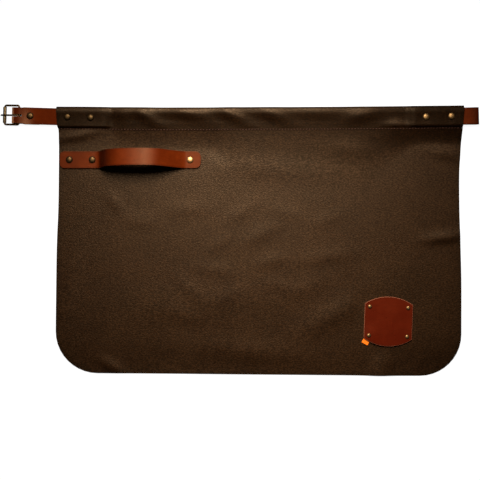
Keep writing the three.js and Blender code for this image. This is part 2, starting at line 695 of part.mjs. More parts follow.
const loopGeometry = toGeometry(loop);
const loopPoints = loopGeometry.attributes.position;
for (let k = 0; k < loopPoints.count; k += 1) {
  const lift = Math.max(0, loopPoints.getZ(k) - loopSeat - STRAP_LEATHER) / LOOP_RISE;
  const across = loopPoints.getY(k);
  loopPoints.setY(k, across + LOOP_Y + LOOP_LEAN * lift);
  loopPoints.setZ(k, loopPoints.getZ(k) - Math.sin(degToRad(LOOP_TWIST)) * lift * across);
}
addPiece("towel_loop", loopGeometry, 0x8f4a1c);

// Patch: straight sides, bowed top and bottom, its lower left corner lifted over the tab.
const PATCH_COLUMNS = 12;
const PATCH_ROWS = 5;
const patchBow = (PATCH.height - PATCH.side) / 2;
const bowRadius = ((PATCH.width / 2) ** 2 + patchBow ** 2) / (2 * patchBow);

function patchHeight(x, y) {
  const away = Math.hypot(x - TAB_LIFT.x, y - TAB_LIFT.y) / TAB_LIFT.reach;
  return panelTop(PATCH.x, PATCH.y) + SEAT_GAP + PATCH_LEATHER / 2 + TAB_LIFT.height * Math.exp(-away * away);
}

const patchGrid = [];
for (let i = 0; i <= PATCH_COLUMNS; i += 1) {
  const x = (i / PATCH_COLUMNS - 0.5) * PATCH.width;
  const edge = PATCH.side / 2 + Math.sqrt(bowRadius ** 2 - x * x) - (bowRadius - patchBow);
  const column = [];
  for (let j = 0; j <= PATCH_ROWS; j += 1) {
    const spot = new THREE.Vector2(x, lerp(edge, -edge, j / PATCH_ROWS));
    spot.rotateAround(new THREE.Vector2(), degToRad(PATCH.turn));
    spot.add(new THREE.Vector2(PATCH.x, PATCH.y));
    column.push(new THREE.Vector3(spot.x, spot.y, patchHeight(spot.x, spot.y)));
  }
  patchGrid.push(column);
}
let patch = toSolid(leatherSheet(patchGrid, PATCH_LEATHER));
for (const spot of patchRivets) {
  patch = patch.subtract(post(spot.x, spot.y, SMALL_RIVET.shank + HOLE_PLAY));
}
addPiece("leather_patch", toGeometry(patch), 0x6a2412);

// Tab: a short folded ribbon held under the corner of the patch, its folded end rounded.
const tabSide = [];
const tabLow = panelTop(TAB.x, TAB.y) + SEAT_GAP;
const tabRound = TAB.thickness / 2;
tabSide.push(new THREE.Vector2(-TAB.under, tabLow));
tabSide.push(...arc(TAB.out - tabRound, tabLow + tabRound, tabRound, -90, 90, 6));
tabSide.push(new THREE.Vector2(-TAB.under, tabLow + TAB.thickness));
const tab = new THREE.ExtrudeGeometry(new THREE.Shape(tabSide), { depth: TAB.width, bevelEnabled: false });
tab.rotateX(Math.PI / 2);
tab.translate(0, TAB.width / 2, 0);
tab.rotateZ(degToRad(TAB.turn));
tab.translate(TAB.x, TAB.y, 0);
addPiece("patch_tab", tab, 0xee7a1e);

// Rivets.
hemRivets.forEach((spot, k) => {
  const over = panelTop(spot.x, spot.y) + CASING_SLOPE_PLAY;
  addRivet(`hem_rivet_${k + 1}`, RIVET, spot.x, spot.y, restingHeight(spot.x, spot.y), over);
});
const strapSpot = onStrap(BUCKLE_STRAP, BUCKLE_STRAP.rivet);
addRivet("strap_rivet", RIVET, strapSpot.x, strapSpot.y, LIE_HEIGHT, turnHigh + STRAP_LEATHER / 2);
loopRivets.forEach((spot, k) => {
  const under = restingHeight(spot.x, spot.y);
  addRivet(`loop_rivet_${k + 1}`, RIVET, spot.x, spot.y, under, loopSeat + STRAP_LEATHER / 2);
});
patchRivets.forEach((spot, k) => {
  const under = restingHeight(spot.x, spot.y);
  const over = patchHeight(spot.x, spot.y) + PATCH_LEATHER / 2;
  addRivet(`patch_rivet_${k + 1}`, SMALL_RIVET, spot.x, spot.y, under, over);
});

export default apron;
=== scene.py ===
from math import asin, atan2, cos, hypot, pi, radians, sin

import bpy
import numpy as np
from mathutils import Matrix


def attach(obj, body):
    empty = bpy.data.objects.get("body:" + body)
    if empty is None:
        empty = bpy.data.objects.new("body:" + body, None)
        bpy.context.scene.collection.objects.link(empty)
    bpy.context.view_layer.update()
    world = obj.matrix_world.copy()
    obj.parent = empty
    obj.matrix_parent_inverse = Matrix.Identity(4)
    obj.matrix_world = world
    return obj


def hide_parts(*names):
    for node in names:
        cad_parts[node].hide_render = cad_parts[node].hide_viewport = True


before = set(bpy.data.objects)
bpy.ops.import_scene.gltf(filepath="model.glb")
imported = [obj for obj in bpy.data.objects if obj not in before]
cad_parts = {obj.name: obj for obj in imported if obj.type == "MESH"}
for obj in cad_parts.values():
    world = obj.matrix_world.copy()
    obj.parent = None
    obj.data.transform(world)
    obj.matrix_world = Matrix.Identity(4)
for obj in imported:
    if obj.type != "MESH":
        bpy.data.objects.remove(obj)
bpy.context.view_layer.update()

# Studio: the apron lies on its back on a pale table and is looked at from straight above, waist at
# the top of the picture. One soft light stands beyond the waist, and the room adds a little more.
TABLE_SIZE = 14.0
TABLE_LEVEL = -0.0002
LIGHT_SPOT = (-0.02, 0.51, 0.76)
LIGHT_AIM = (0.035, -0.05, 0.0)
LIGHT_POWER = 3.4
LIGHT_SIZE = 0.42
LIGHT_SPREAD = radians(66)
EYE_HEIGHT = 1.5
PICTURE_WIDTH = 0.7128
FILM_WIDTH = 36.0


class Wire:
    """A shader socket that takes part in sums, and the node tree it belongs to."""

    def __init__(self, tree, socket=None):
        self.tree = tree
        self.socket = socket

    def node(self, kind, settings=None, inputs=None, out=0):
        made = self.tree.nodes.new("ShaderNode" + kind)
        for key, value in (settings or {}).items():
            setattr(made, key, value)
        for key, value in (inputs or {}).items():
            if isinstance(value, Wire):
                self.tree.links.new(value.socket, made.inputs[key])
            else:
                made.inputs[key].default_value = value
        return Wire(self.tree, made.outputs[out] if made.outputs else None)

    def math(self, operation, first, second):
        return self.node("Math", {"operation": operation}, {0: first, 1: second})

    def __add__(self, other):
        return self.math("ADD", self, other)

    def __radd__(self, other):
        return self.math("ADD", other, self)

    def __sub__(self, other):
        return self.math("SUBTRACT", self, other)

    def __rsub__(self, other):
        return self.math("SUBTRACT", other, self)

    def __mul__(self, other):
        return self.math("MULTIPLY", self, other)

    def sine(self):
        return self.math("SINE", self, 0.0)

    def step(self, low, high, start=0.0, end=1.0):
        """Smooth change from start to end while this value goes from low to high."""
        ends = {"From Min": low, "From Max": high, "To Min": start, "To Max": end}
        return self.node("MapRange", {"interpolation_type": "SMOOTHSTEP"}, {"Value": self, **ends})

    def blend(self, low, high):
        """Colour between two, by this value."""
        return self.node("Mix", {"data_type": "RGBA"}, {0: self, 6: low, 7: high}, 2)

    def dimmed(self, by):
        """This colour made darker or lighter by a factor."""
        return self.node("VectorMath", {"operation": "SCALE"}, {0: self, 3: by})

    def stretched(self, by):
        """These coordinates scaled along each axis."""
        return self.node("VectorMath", {"operation": "MULTIPLY"}, {0: self, 1: by})

    def noise(self, scale, detail=2.0, roughness=0.5):
        inputs = {"Vector": self, "Scale": scale, "Detail": detail, "Roughness": roughness}
        return self.node("TexNoise", None, inputs)

    def cells(self, scale, feature="F1", out="Distance", randomness=1.0):
        inputs = {"Vector": self, "Scale": scale, "Randomness": randomness}
        return self.node("TexVoronoi", {"feature": feature}, inputs, out)

    def bump(self, strength, depth):
        """Surface relief that follows this height."""
        return self.node("Bump", None, {"Strength": strength, "Distance": depth, "Height": self})

    def noted(self, name):
        """A number kept on the piece for each of its points or faces."""
        return self.node("Attribute", {"attribute_name": name}, out="Fac")


def start_finish(name):
    """A new finish with an empty node tree, and a wire to build it from."""
    finish = bpy.data.materials.new(name)
    finish.use_nodes = True
    finish.node_tree.nodes.clear()
    return finish, Wire(finish.node_tree)


def close_finish(maker, sockets):
    """End a finish with one shader that has these sockets."""
    shader = maker.node("BsdfPrincipled", None, sockets)
    maker.node("OutputMaterial", None, {"Surface": shader})


bpy.ops.mesh.primitive_plane_add(size=TABLE_SIZE, location=(0, 0, TABLE_LEVEL))
table = bpy.context.object
table.name = "table"
table_finish, maker = start_finish("pale_table")
place = maker.node("TexCoord", out="Object")
shade = place.noise(3.0).blend((0.175, 0.175, 0.1745, 1), (0.192, 0.192, 0.1915, 1))
lit_top = maker.node("BsdfPrincipled", None, {
    "Base Color": shade,
    "Roughness": 0.9,
    "Specular IOR Level": 0.1,
    "Emission Color": (1, 1, 1, 1),
    "Emission Strength": 0.95,
})
dim_top = maker.node("BsdfDiffuse", None, {"Color": shade})
seen = maker.node("LightPath", out="Is Camera Ray")
table_top = maker.node("MixShader", None, {0: seen, 1: dim_top, 2: lit_top})
maker.node("OutputMaterial", None, {"Surface": table_top})
table.data.materials.append(table_finish)

room = bpy.data.worlds.new("room")
room.use_nodes = True
room.node_tree.nodes.clear()
maker = Wire(room.node_tree)
seen = maker.node("LightPath", out="Is Camera Ray")
glow = maker.node("Background", None, {"Color": (1, 1, 1, 1), "Strength": seen * 0.95 + 0.03})
maker.node("OutputWorld", None, {"Surface": glow})
bpy.context.scene.world = room
bpy.context.scene.view_settings.view_transform = "Standard"

lamp = bpy.data.lights.new("waist_light", "AREA")
lamp.energy = LIGHT_POWER
lamp.size = LIGHT_SIZE
lamp.spread = LIGHT_SPREAD
holder = bpy.data.objects.new("waist_light", lamp)
bpy.context.collection.objects.link(holder)
away = [spot - aim for spot, aim in zip(LIGHT_SPOT, LIGHT_AIM)]
tip = atan2(hypot(away[0], away[1]), away[2])
turn = atan2(away[0], -away[1])
holder.matrix_world = (
    Matrix.Translation(LIGHT_SPOT)
    @ Matrix.Rotation(turn, 4, "Z")
    @ Matrix.Rotation(tip, 4, "X")
)
holder.visible_camera = False

eye = bpy.data.cameras.new("eye")
eye.sensor_width = FILM_WIDTH
eye.lens = FILM_WIDTH * EYE_HEIGHT / PICTURE_WIDTH
stand = bpy.data.objects.new("eye", eye)
stand.location = (0, 0, EYE_HEIGHT)
bpy.context.collection.objects.link(stand)
bpy.context.scene.camera = stand

# Apron panel: one hide of soft brown pebbled leather about 1.4 mm thick, cut with two rounded lower
# corners. Its waist edge is turned to the back and sewn down, which leaves a flat casing for the
# straps. Its sizes, and those of the pieces after it, are in millimetres.
MM = 0.001
PANEL_LEATHER = 1.4
PANEL_LEFT = -273.4
PANEL_RIGHT = 332.6
PANEL_WIDTH = PANEL_RIGHT - PANEL_LEFT
CORNER_RADIUS = 62.0
HEM_DEPTH = 40.0
SEAM_DEPTH = 32.5
HEM_GAP = 0.5
CASING_GAP = 4.2
FOLD_DEPTH = 9.0
ROLL_GAP = 2.0
BESIDE_ROLL = 10.5
LIE_HEIGHT = 1.0
BELT_LIFT = 4.1
RIVET_PULL = 0.6
RIVET_REACH = 8.0
PROPPED_X = (170, 265)
WIDE_DRAPE_X = (-50, 30)
LEFT_BED_X = (-203, -188)
RIGHT_BED_X = (244, 258)
CASING_SHUT = (29.0, 31.6)
BUCKLE_PLACE = (-270.2, 182.4, radians(-1.7))
BELT_PLACE = (293.4, 182.2, radians(1.5))
BELT_TIP = -457.4
# How far each side is drawn in at a height, and where the two other edges lie at an x.
LEFT_IN = [
    (-140, 0.2), (-60, 1.0), (-6, 1.9), (48, 4.1), (101, 4.8),
    (137, 5.0), (163, 4.6), (171, 2.9), (198, 2.0),
]
RIGHT_IN = [
    (-140, 4.4), (-60, 4.4), (-6, 5.7), (48, 7.3), (101, 7.4),
    (137, 5.4), (163, 3.4), (171, 3.4), (198, 2.2),
]
WAIST_EDGE = [
    (-273, 197.4), (-223, 197.2), (-150, 196.2), (-75, 195.9), (0, 196.5),
    (90, 196.7), (178, 197.3), (252, 198.0), (333, 198.7),
]
LOWER_EDGE = [
    (-273, -197.2), (-120, -198.2), (0, -199.4), (120, -200.4),
    (178, -201.0), (208, -201.7), (240, -201.5), (333, -201.6),
]
# Folds: middle x and y, direction in degrees, half length, half width, height.
PANEL_FOLDS = [
    (-245, 153, 14, 34, 7, 1.7), (304, 4, 6, 30, 8, 1.6), (140, -110, 28, 54, 17, 1.3),
    (-190, -187, -31, 22, 8, 1.4), (40, 105, -4, 110, 17, 0.6), (208, -200, 84, 34, 15, 2.0),
    (-254, -86, 82, 70, 14, 1.1), (-60, -92, 8, 120, 30, 0.8), (306, 128, -14, 30, 9, 1.2),
    (30, -168, -6, 90, 16, 0.9), (30, 8, 26, 30, 11, 0.5), (47, -31, 17, 24, 10, 0.55),
    (128, -25, 8, 45, 11, 0.5), (-37, -44, -8, 28, 11, 0.5), (-78, -70, -47, 26, 10, 0.45),
    (-86, -110, -15, 30, 12, 0.45), (-80, 46, 4, 32, 12, 0.4), (-186, 55, -50, 18, 9, 0.5),
    (-148, 28, -5, 28, 12, 0.4), (165, 134, -6, 34, 13, 0.5), (96, -72, 24, 32, 12, 0.4),
    (0, 40, 32, 26, 10, 0.35), (70, 40, -20, 24, 9, 0.3), (-30, -5, 40, 22, 9, 0.35),
    (60, -68, -12, 26, 9, 0.35), (-20, -85, 20, 24, 9, 0.3), (130, 30, 18, 26, 10, 0.3),
]
CASING_FOLDS = [
    (-178, 186, -8, 24, 8, 1.4), (-141, 184, -28, 22, 8, 2.6), (-78, 187, -12, 30, 9, 3.0),
    (-14, 185, -24, 25, 8, 2.8), (46, 186, -20, 27, 9, 2.4), (112, 187, -4, 34, 10, 1.0),
    (178, 183, 8, 24, 9, 2.0), (231, 170, -6, 17, 9, 1.5),
]
# Places held flat by a riveted piece: middle x and y, half sizes, and how far the folds fade out.
HELD_FLAT = [(-162.5, 118.8, 106, 13, 22), (219.7, -120.8, 37, 38, 22)]


def spot_on(strap, run):
    """Place on the middle line of a strap, by the distance along it."""
    return strap[0] + run * cos(strap[2]), strap[1] + run * sin(strap[2])


HEM_RIVETS = [spot_on(BUCKLE_PLACE, run) for run in (15.1, 49.5)]
HEM_RIVETS += [spot_on(BELT_PLACE, run) for run in (-19.2, 18.3)]


def smooth(at, low, high):
    """Smooth change from 0 to 1 while a value goes from low to high."""
    t = np.clip((at - low) / (high - low), 0.0, 1.0)
    return t * t * (3 - 2 * t)


def along(table, at):
    """Value from a table of (place, value) rows, smooth between the rows."""
    places = np.array([row[0] for row in table], float)
    values = np.array([row[1] for row in table], float)
    before = np.maximum(np.arange(len(table)) - 1, 0)
    after = np.minimum(np.arange(len(table)) + 1, len(table) - 1)
    slopes = (values[after] - values[before]) / (places[after] - places[before])
    at = np.clip(at, places[0], places[-1])
    row = np.clip(np.searchsorted(places, at) - 1, 0, len(table) - 2)
    span = places[row + 1] - places[row]
    t = (at - places[row]) / span
    keep = (1 + 2 * t) * (1 - t) ** 2 * values[row] + t * t * (3 - 2 * t) * values[row + 1]
    return keep + span * (t * (1 - t) ** 2 * slopes[row] + t * t * (t - 1) * slopes[row + 1])


def ridges(table, x, y):
    """Height of a table of folds at a place."""
    height = 0.0
    for mid_x, mid_y, angle, length, width, top in table:
        turn = radians(angle)
        u = ((x - mid_x) * cos(turn) + (y - mid_y) * sin(turn)) / length
        v = ((y - mid_y) * cos(turn) - (x - mid_x) * sin(turn)) / width
        height = height + top * np.exp(-u * u - v * v)
    return height


def folds_left(x, y):
    """Share of the folds that is left at a place, beside what holds the panel flat."""
    left = 1.0
    for mid_x, mid_y, half_x, half_y, fade in HELD_FLAT:
        dx = np.maximum(0, np.abs(x - mid_x) - half_x)
        dy = np.maximum(0, np.abs(y - mid_y) - half_y)
        left = left * smooth(np.hypot(dx, dy), 0, fade)
    return left


def waist_props(x):
    """Where the waist is propped by the strap in the right end of the casing, and where the drape
    beside the belt run is wide."""
    propped = smooth(x, *PROPPED_X)
    return propped, smooth(x, *WIDE_DRAPE_X) * (1 - propped)


def resting_height(x, y):
    """Height of the underside of the lowest layer, over the table and the belt run."""
    lower = along(LOWER_EDGE, x)
    lie = LIE_HEIGHT * smooth(y, lower, lower + 50)
    below = along(WAIST_EDGE, x) - y
    propped, wide = waist_props(x)
    # How far below the waist edge the drape beside the belt run comes down to the table.
    foot = 62 + 68 * wide - 4 * propped
    beside = np.clip((foot - below) / (foot - 24 - 4 * propped), 0, 1) ** (1.3 + 0.9 * wide)
    before = smooth(x, BELT_PLACE[0] + BELT_TIP - 30, BELT_PLACE[0] + BELT_TIP - 1)
    folds = ridges(PANEL_FOLDS, x, y) * folds_left(x, y)
    return lie + (BELT_LIFT - LIE_HEIGHT) * beside * before + folds


def resting_slack(x, y, below):
    """How far the back layer drops under a straight line from the waist roll to the seam."""
    top = y + below
    high = resting_height(x, top - FOLD_DEPTH)
    low = resting_height(x, top - SEAM_DEPTH)
    share = np.clip((below - FOLD_DEPTH) / (SEAM_DEPTH - FOLD_DEPTH), 0, 1)
    line = high + (low - high) * share
    drop = np.maximum(line - resting_height(x, y), -0.6 * (1 - share))
    return np.where(below < SEAM_DEPTH, drop, 0.0)


def casing_gap(x, y, below):
    """Free height inside the casing, wide where a strap lies in it."""
    strap = np.maximum(1 - smooth(x, *LEFT_BED_X), smooth(x, *RIGHT_BED_X))
    slack = ridges(CASING_FOLDS, x, y) * (1 - strap)
    shut = 1 - smooth(below, *CASING_SHUT)
    roll = 1.6 * ROLL_GAP * np.clip(1 - below / SEAM_DEPTH, 0, 1) ** 2
    sag = (1 - strap) * resting_slack(x, y, below)
    return HEM_GAP + roll + ((CASING_GAP - HEM_GAP) * strap + slack) * shut + sag


def back_middle(x, y):
    """Height of the middle of the back layer."""
    return resting_height(x, y) + PANEL_LEATHER / 2


def front_middle(x, y, below):
    """Height of the middle of the front layer, pulled down round the hem rivets."""
    propped, wide = waist_props(x)
    # How far below the waist edge the front has come down off the hem behind it.
    foot = 64 + 46 * wide - 8 * propped
    over = np.clip((foot - below) / (foot - SEAM_DEPTH), 0, 1) ** 2
    pulled = 0.0
    for spot_x, spot_y in HEM_RIVETS:
        away = ((x - spot_x) ** 2 + (y - spot_y) ** 2) / RIVET_REACH ** 2
        pulled = pulled + RIVET_PULL * np.exp(-away)
    return back_middle(x, y) + (PANEL_LEATHER + casing_gap(x, y, below)) * over - pulled


def panel_top(x, y):
    """Height of the face of the panel."""
    return front_middle(x, y, along(WAIST_EDGE, x) - y) + PANEL_LEATHER / 2


# Columns of the grid as shares of the width, closer at the corners, and rows in four sets: up the
# back, round the waist roll, down the front, and on to the lower edge as shares of what is left.
CORNER_STEPS = 10
corner_turns = np.arange(CORNER_STEPS) / CORNER_STEPS * pi / 2
corner_shares = CORNER_RADIUS * (1 - np.cos(corner_turns)) / PANEL_WIDTH
corner_end = CORNER_RADIUS / PANEL_WIDTH
middle_shares = np.linspace(corner_end, 1 - corner_end, 165)
panel_shares = np.concatenate([corner_shares, middle_shares, 1 - corner_shares[::-1]])
back_rows = np.linspace(HEM_DEPTH, BESIDE_ROLL, 13)
fold_turns = np.radians(np.linspace(-89, 89, 19))
front_rows = np.concatenate([
    np.linspace(BESIDE_ROLL, 28, 12), np.linspace(29, 36, 8),
    np.linspace(38, 60, 12), np.linspace(63.2, 236, 55),
])
foot_rows = np.linspace(0, 1, 51)[1:]
BACK, ROLL, FRONT, FOOT = range(4)
row_sets = [back_rows, fold_turns, front_rows, foot_rows]
row_kind = np.repeat([BACK, ROLL, FRONT, FOOT], [len(rows) for rows in row_sets])
row_value = np.concatenate(row_sets)


def panel_points(column, row):
    """Middle of the leather for each column and row of the panel's grid."""
    share = panel_shares[column]
    kind = row_kind[row]
    value = row_value[row]
    nominal = PANEL_LEFT + PANEL_WIDTH * share
    top = along(WAIST_EDGE, nominal)
    inward = np.maximum(0, CORNER_RADIUS - np.minimum(share, 1 - share) * PANEL_WIDTH)
    foot = along(LOWER_EDGE, nominal) + CORNER_RADIUS - np.sqrt(CORNER_RADIUS ** 2 - inward ** 2)
    lowest = top - front_rows[-1]
    turn = np.where(kind == ROLL, value, 0.0)
    fold_y = top - FOLD_DEPTH
    round_y = fold_y + (FOLD_DEPTH - PANEL_LEATHER / 2) * np.cos(turn) ** 0.8
    y = np.where(kind == FOOT, lowest + (foot - lowest) * value, top - value)
    y = np.where(kind == ROLL, round_y, y)
    side_y = np.where(kind == ROLL, top, y)
    left = PANEL_LEFT + along(LEFT_IN, side_y)
    right = PANEL_RIGHT - along(RIGHT_IN, side_y)
    x = left + (right - left) * share
    low = back_middle(x, fold_y)
    high = front_middle(x, fold_y, FOLD_DEPTH)
    round_z = (low + high) / 2 + (high - low) / 2 * np.sin(turn)
    z = np.where(kind == BACK, back_middle(x, y), front_middle(x, y, top - y))
    z = np.where(kind == ROLL, round_z, z)
    return np.stack([x, y, z], axis=1)


def panel_painted_shade(points, row):
    """Painted shade for each point of the panel: how far the slope of its folds turns the face from
    the light, with more painted shade on the casing, in a dark line along the seam, in the lower
    corners and in patches at the right."""
    x, y = points[:, 0], points[:, 1]
    below = along(WAIST_EDGE, x) - y
    rise = (front_middle(x, y + 1.0, below - 1.0) - front_middle(x, y - 1.0, below + 1.0)) / 2
    casing = smooth(below, 2, 15) * (1 - smooth(below, 31, 33))
    gentle = 0.3 + 0.7 * smooth(x, -60, 30)
    gentle = gentle + (0.9 - gentle) * smooth(below, 60, 75)
    rise = rise * (casing + (1 - casing) * gentle) + (0.2 - 0.06 * smooth(x, -120, 0)) * casing
    # Painted shade: a dark line just under the seam, darker lower corners and dark patches at the
    # right.
    groove = 0.2 * np.exp(-((below - SEAM_DEPTH - 0.5) / 1.1) ** 2)
    foot = 1 - smooth(y - along(LOWER_EDGE, x), 15, 75)
    corner = 0.035 * smooth(np.abs(x - 30), 110, 280)
    hollow_shade = 0.06 * smooth(x, 130, 250) * np.exp(-((below - 50) / 15) ** 2)
    hollow_shade = hollow_shade + 0.02 * smooth(x, 140, 300) * (1 - smooth(y, -40, 120))
    rolled_up = (row_kind[row] == ROLL) & (row_value[row] > 0.5)
    faces_up = (row_kind[row] >= FRONT) | rolled_up
    return np.where(faces_up, rise + groove + foot * corner + hollow_shade, 0.0)


def panel_margin(points):
    """How far a point of the panel lies from its nearest cut edge."""
    x, y = points[:, 0], points[:, 1]
    left = x - PANEL_LEFT - along(LEFT_IN, y)
    right = PANEL_RIGHT - along(RIGHT_IN, y) - x
    side = np.minimum(left, right)
    foot = y - along(LOWER_EDGE, x)
    corner = CORNER_RADIUS - np.hypot(CORNER_RADIUS - side, CORNER_RADIUS - foot)
    in_corner = (side < CORNER_RADIUS) & (foot < CORNER_RADIUS)
    return np.where(in_corner, corner, np.minimum(side, foot))


def lay_grid(name, columns, rows, points_at):
    """A grid laid out by a function of its column and row numbers, in millimetres."""
    bpy.ops.mesh.primitive_grid_add(x_subdivisions=columns, y_subdivisions=rows, size=1)
    piece = bpy.context.object
    piece.name = name
    piece.data.name = name
    flat = np.empty(len(piece.data.vertices) * 3)
    piece.data.vertices.foreach_get("co", flat)
    flat = flat.reshape(-1, 3)
    column = np.rint((flat[:, 0] + 0.5) * columns).astype(int)
    row = np.rint((0.5 - flat[:, 1]) * rows).astype(int)
    points = points_at(column, row)
    piece.data.vertices.foreach_set("co", (points * MM).ravel())
    return piece, points, column, row


def note(piece, name, values, domain="POINT"):
    """Keep a number for each point or face of a piece, for its finish to read."""
    kept = piece.data.attributes.new(name, "FLOAT", domain)
    kept.data.foreach_set("value", np.asarray(values, float))


def thicken(piece, thickness, edge=0.0):
    """Give a laid grid its leather thickness, round its cut edges and mark them for the finish."""
    piece.data.materials.append(None)
    piece.data.materials.append(None)
    wall = piece.modifiers.new("thickness", "SOLIDIFY")
    wall.thickness = thickness * MM
    wall.offset = 0.0
    wall.material_offset_rim = 1
    bpy.ops.object.modifier_apply(modifier=wall.name)
    if edge:
        round_edge = piece.modifiers.new("edge", "BEVEL")
        round_edge.width = edge * MM
        round_edge.segments = 3
        round_edge.material = 1
        round_edge.limit_method = "ANGLE"
        round_edge.angle_limit = radians(55)
        bpy.ops.object.modifier_apply(modifier=round_edge.name)
    cut = np.empty(len(piece.data.polygons), int)
    piece.data.polygons.foreach_get("material_index", cut)
    piece.data.polygons.foreach_set("material_index", np.zeros(len(cut), int))
    piece.data.materials.clear()
    note(piece, "cut_edge", cut > 0, "FACE")
    bpy.ops.object.shade_smooth_by_angle(angle=radians(50))


def settle(piece, finish, body, slot, *nodes):
    """Put a finish on a piece, tie it to its body and hide the solids that it stands for."""
    piece.data.materials.append(finish)
    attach(piece, body)
    if nodes:
        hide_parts(*nodes)


panel, laid, _, row = lay_grid("panel", len(panel_shares) - 1, len(row_kind) - 1, panel_points)
note(panel, "margin", panel_margin(laid))
note(panel, "painted_shade_amount", panel_painted_shade(laid, row))
thicken(panel, PANEL_LEATHER)

GRAIN_SCALE = 450.0
GRAIN_LOOSE = 0.75
panel_finish, maker = start_finish("pebbled_brown_leather")
place = maker.node("TexCoord", out="Object")
margin = maker.noted("margin")
cut = maker.noted("cut_edge")
painted_shade_amount = maker.noted("painted_shade_amount")
warp = place.noise(220.0, 2.0).blend((0, 0, 0, 1), (0.0005, 0.0005, 0.0005, 1))
warped = place.node("VectorMath", {"operation": "ADD"}, {0: place, 1: warp})
grain = warped.stretched((0.85, 1.15, 1.0))
groove = grain.cells(GRAIN_SCALE, randomness=GRAIN_LOOSE).step(0.2, 0.62)
speck = grain.cells(GRAIN_SCALE, out="Color", randomness=GRAIN_LOOSE).step(0.15, 0.85)
pebble = place.stretched((0.8, 1.55, 1.0)).noise(GRAIN_SCALE, 0.0).step(0.28, 0.72)
cloud = place.noise(14.0, 4.0, 0.6)
patchy = place.noise(120.0, 3.0, 0.6)
wander = place.noise(34.0, 3.0, 0.55)
# Painted shade: the panel's painted shade amount darkens the colour and takes down the sheen.
painted_darkness = painted_shade_amount.step(-0.02, 0.22)
tone = cloud.step(0.3, 0.72).blend((0.0132, 0.0040, 0.0008, 1), (0.0210, 0.0074, 0.0020, 1))
tone = (patchy.step(0.35, 0.75) * 0.5).blend(tone, (0.0265, 0.0100, 0.0030, 1))
tone = margin.step(1.5, 9.0, 0.45, 0.0).blend(tone, (0.0076, 0.0026, 0.0007, 1))
tone = (cut * 0.8).blend(tone, (0.019, 0.0072, 0.0026, 1))
# Grain darkens the pebbles and their grooves; painted shade darkens the face where it turns from
# the light.
tone = tone.dimmed((1.14 - groove * 0.4) * (pebble * 0.75 + 0.595) * (1 - painted_darkness * 0.5))
relief = patchy * 0.06 + wander * 0.25 - groove * 0.5
hide = {
    "Base Color": tone,
    "Roughness": 0.36 + (1 - speck) * 0.05 + groove * 0.1,
    "Specular Tint": (1.0, 0.645, 0.35, 1),
    "Normal": relief.bump(0.25, 0.0006),
}
# A lit copy and a dull, shaded copy of the hide, mixed by the grain and by the painted shade.
open_hide = maker.node("BsdfPrincipled", None, {**hide, "Specular IOR Level": 0.37})
dull_shaded_hide = maker.node("BsdfPrincipled", None, {**hide, "Specular IOR Level": 0.1})
dull_grain_and_shade = 1 - (1 - painted_darkness) * (1 - groove * 0.2) * (0.44 + pebble * 0.53)
blended = maker.node("MixShader", None, {0: dull_grain_and_shade, 1: open_hide, 2: dull_shaded_hide})
maker.node("OutputMaterial", None, {"Surface": blended})
settle(panel, panel_finish, "apron", "panel_leather", "apron_panel")

# Hem seam: one row of red-brown thread along the lower edge of the casing, sewn through both
# layers, with a short stitch about every 4.5 mm on the front and on the back.
STITCH_PITCH = 4.48
STITCH_HALF = (1.2, 0.5, 0.42)
STITCH_SLANT = radians(9)
STITCH_BELOW = 0.4
STITCH_PROUD = 0.22
STITCH_PROUD_BACK = 0.1
SEAM_ENDS = (9, 7)
bpy.ops.mesh.primitive_uv_sphere_add(segments=8, ring_count=5, radius=1)
seam = bpy.context.object
seam.name = "hem_seam"
one = np.empty(len(seam.data.vertices) * 3)
seam.data.vertices.foreach_get("co", one)
one = one.reshape(-1, 3) * STITCH_HALF
one_faces = [list(face.vertices) for face in seam.data.polygons]
seam_x = np.arange(PANEL_LEFT + SEAM_ENDS[0], PANEL_RIGHT - SEAM_ENDS[1], STITCH_PITCH)
seam_y = along(WAIST_EDGE, seam_x) - SEAM_DEPTH - STITCH_BELOW
front_z = front_middle(seam_x, seam_y, SEAM_DEPTH) + PANEL_LEATHER / 2 + STITCH_PROUD
back_z = back_middle(seam_x, seam_y) - PANEL_LEATHER / 2 - STITCH_PROUD_BACK
turned = np.stack([
    one[:, 0] * cos(STITCH_SLANT) - one[:, 1] * sin(STITCH_SLANT),
    one[:, 0] * sin(STITCH_SLANT) + one[:, 1] * cos(STITCH_SLANT),
    one[:, 2],
], axis=1)
thread_points = []
thread_faces = []
for x, y, z_front, z_back in zip(seam_x, seam_y, front_z, back_z):
    for z in (z_front, z_back):
        start = len(thread_points) * len(one)
        thread_points.append(turned + (x, y, z))
        thread_faces += [[start + k for k in face] for face in one_faces]
thread = bpy.data.meshes.new("hem_seam")
thread.from_pydata((np.concatenate(thread_points) * MM).tolist(), [], thread_faces)
seam.data = thread
bpy.ops.object.shade_smooth()

thread_finish, maker = start_finish("red_brown_thread")
place = maker.node("TexCoord", out="Object")
strands = {"Vector": place, "Scale": 900.0, "Distortion": 1.0}
ply = place.node("TexWave", {"bands_direction": "DIAGONAL"}, strands)
close_finish(maker, {
    "Base Color": ply.blend((0.042, 0.014, 0.008, 1), (0.085, 0.031, 0.019, 1)),
    "Roughness": 0.8,
    "Specular IOR Level": 0.2,
    "Normal": ply.bump(0.4, 0.0002),
})
settle(seam, thread_finish, "apron", "panel_leather")

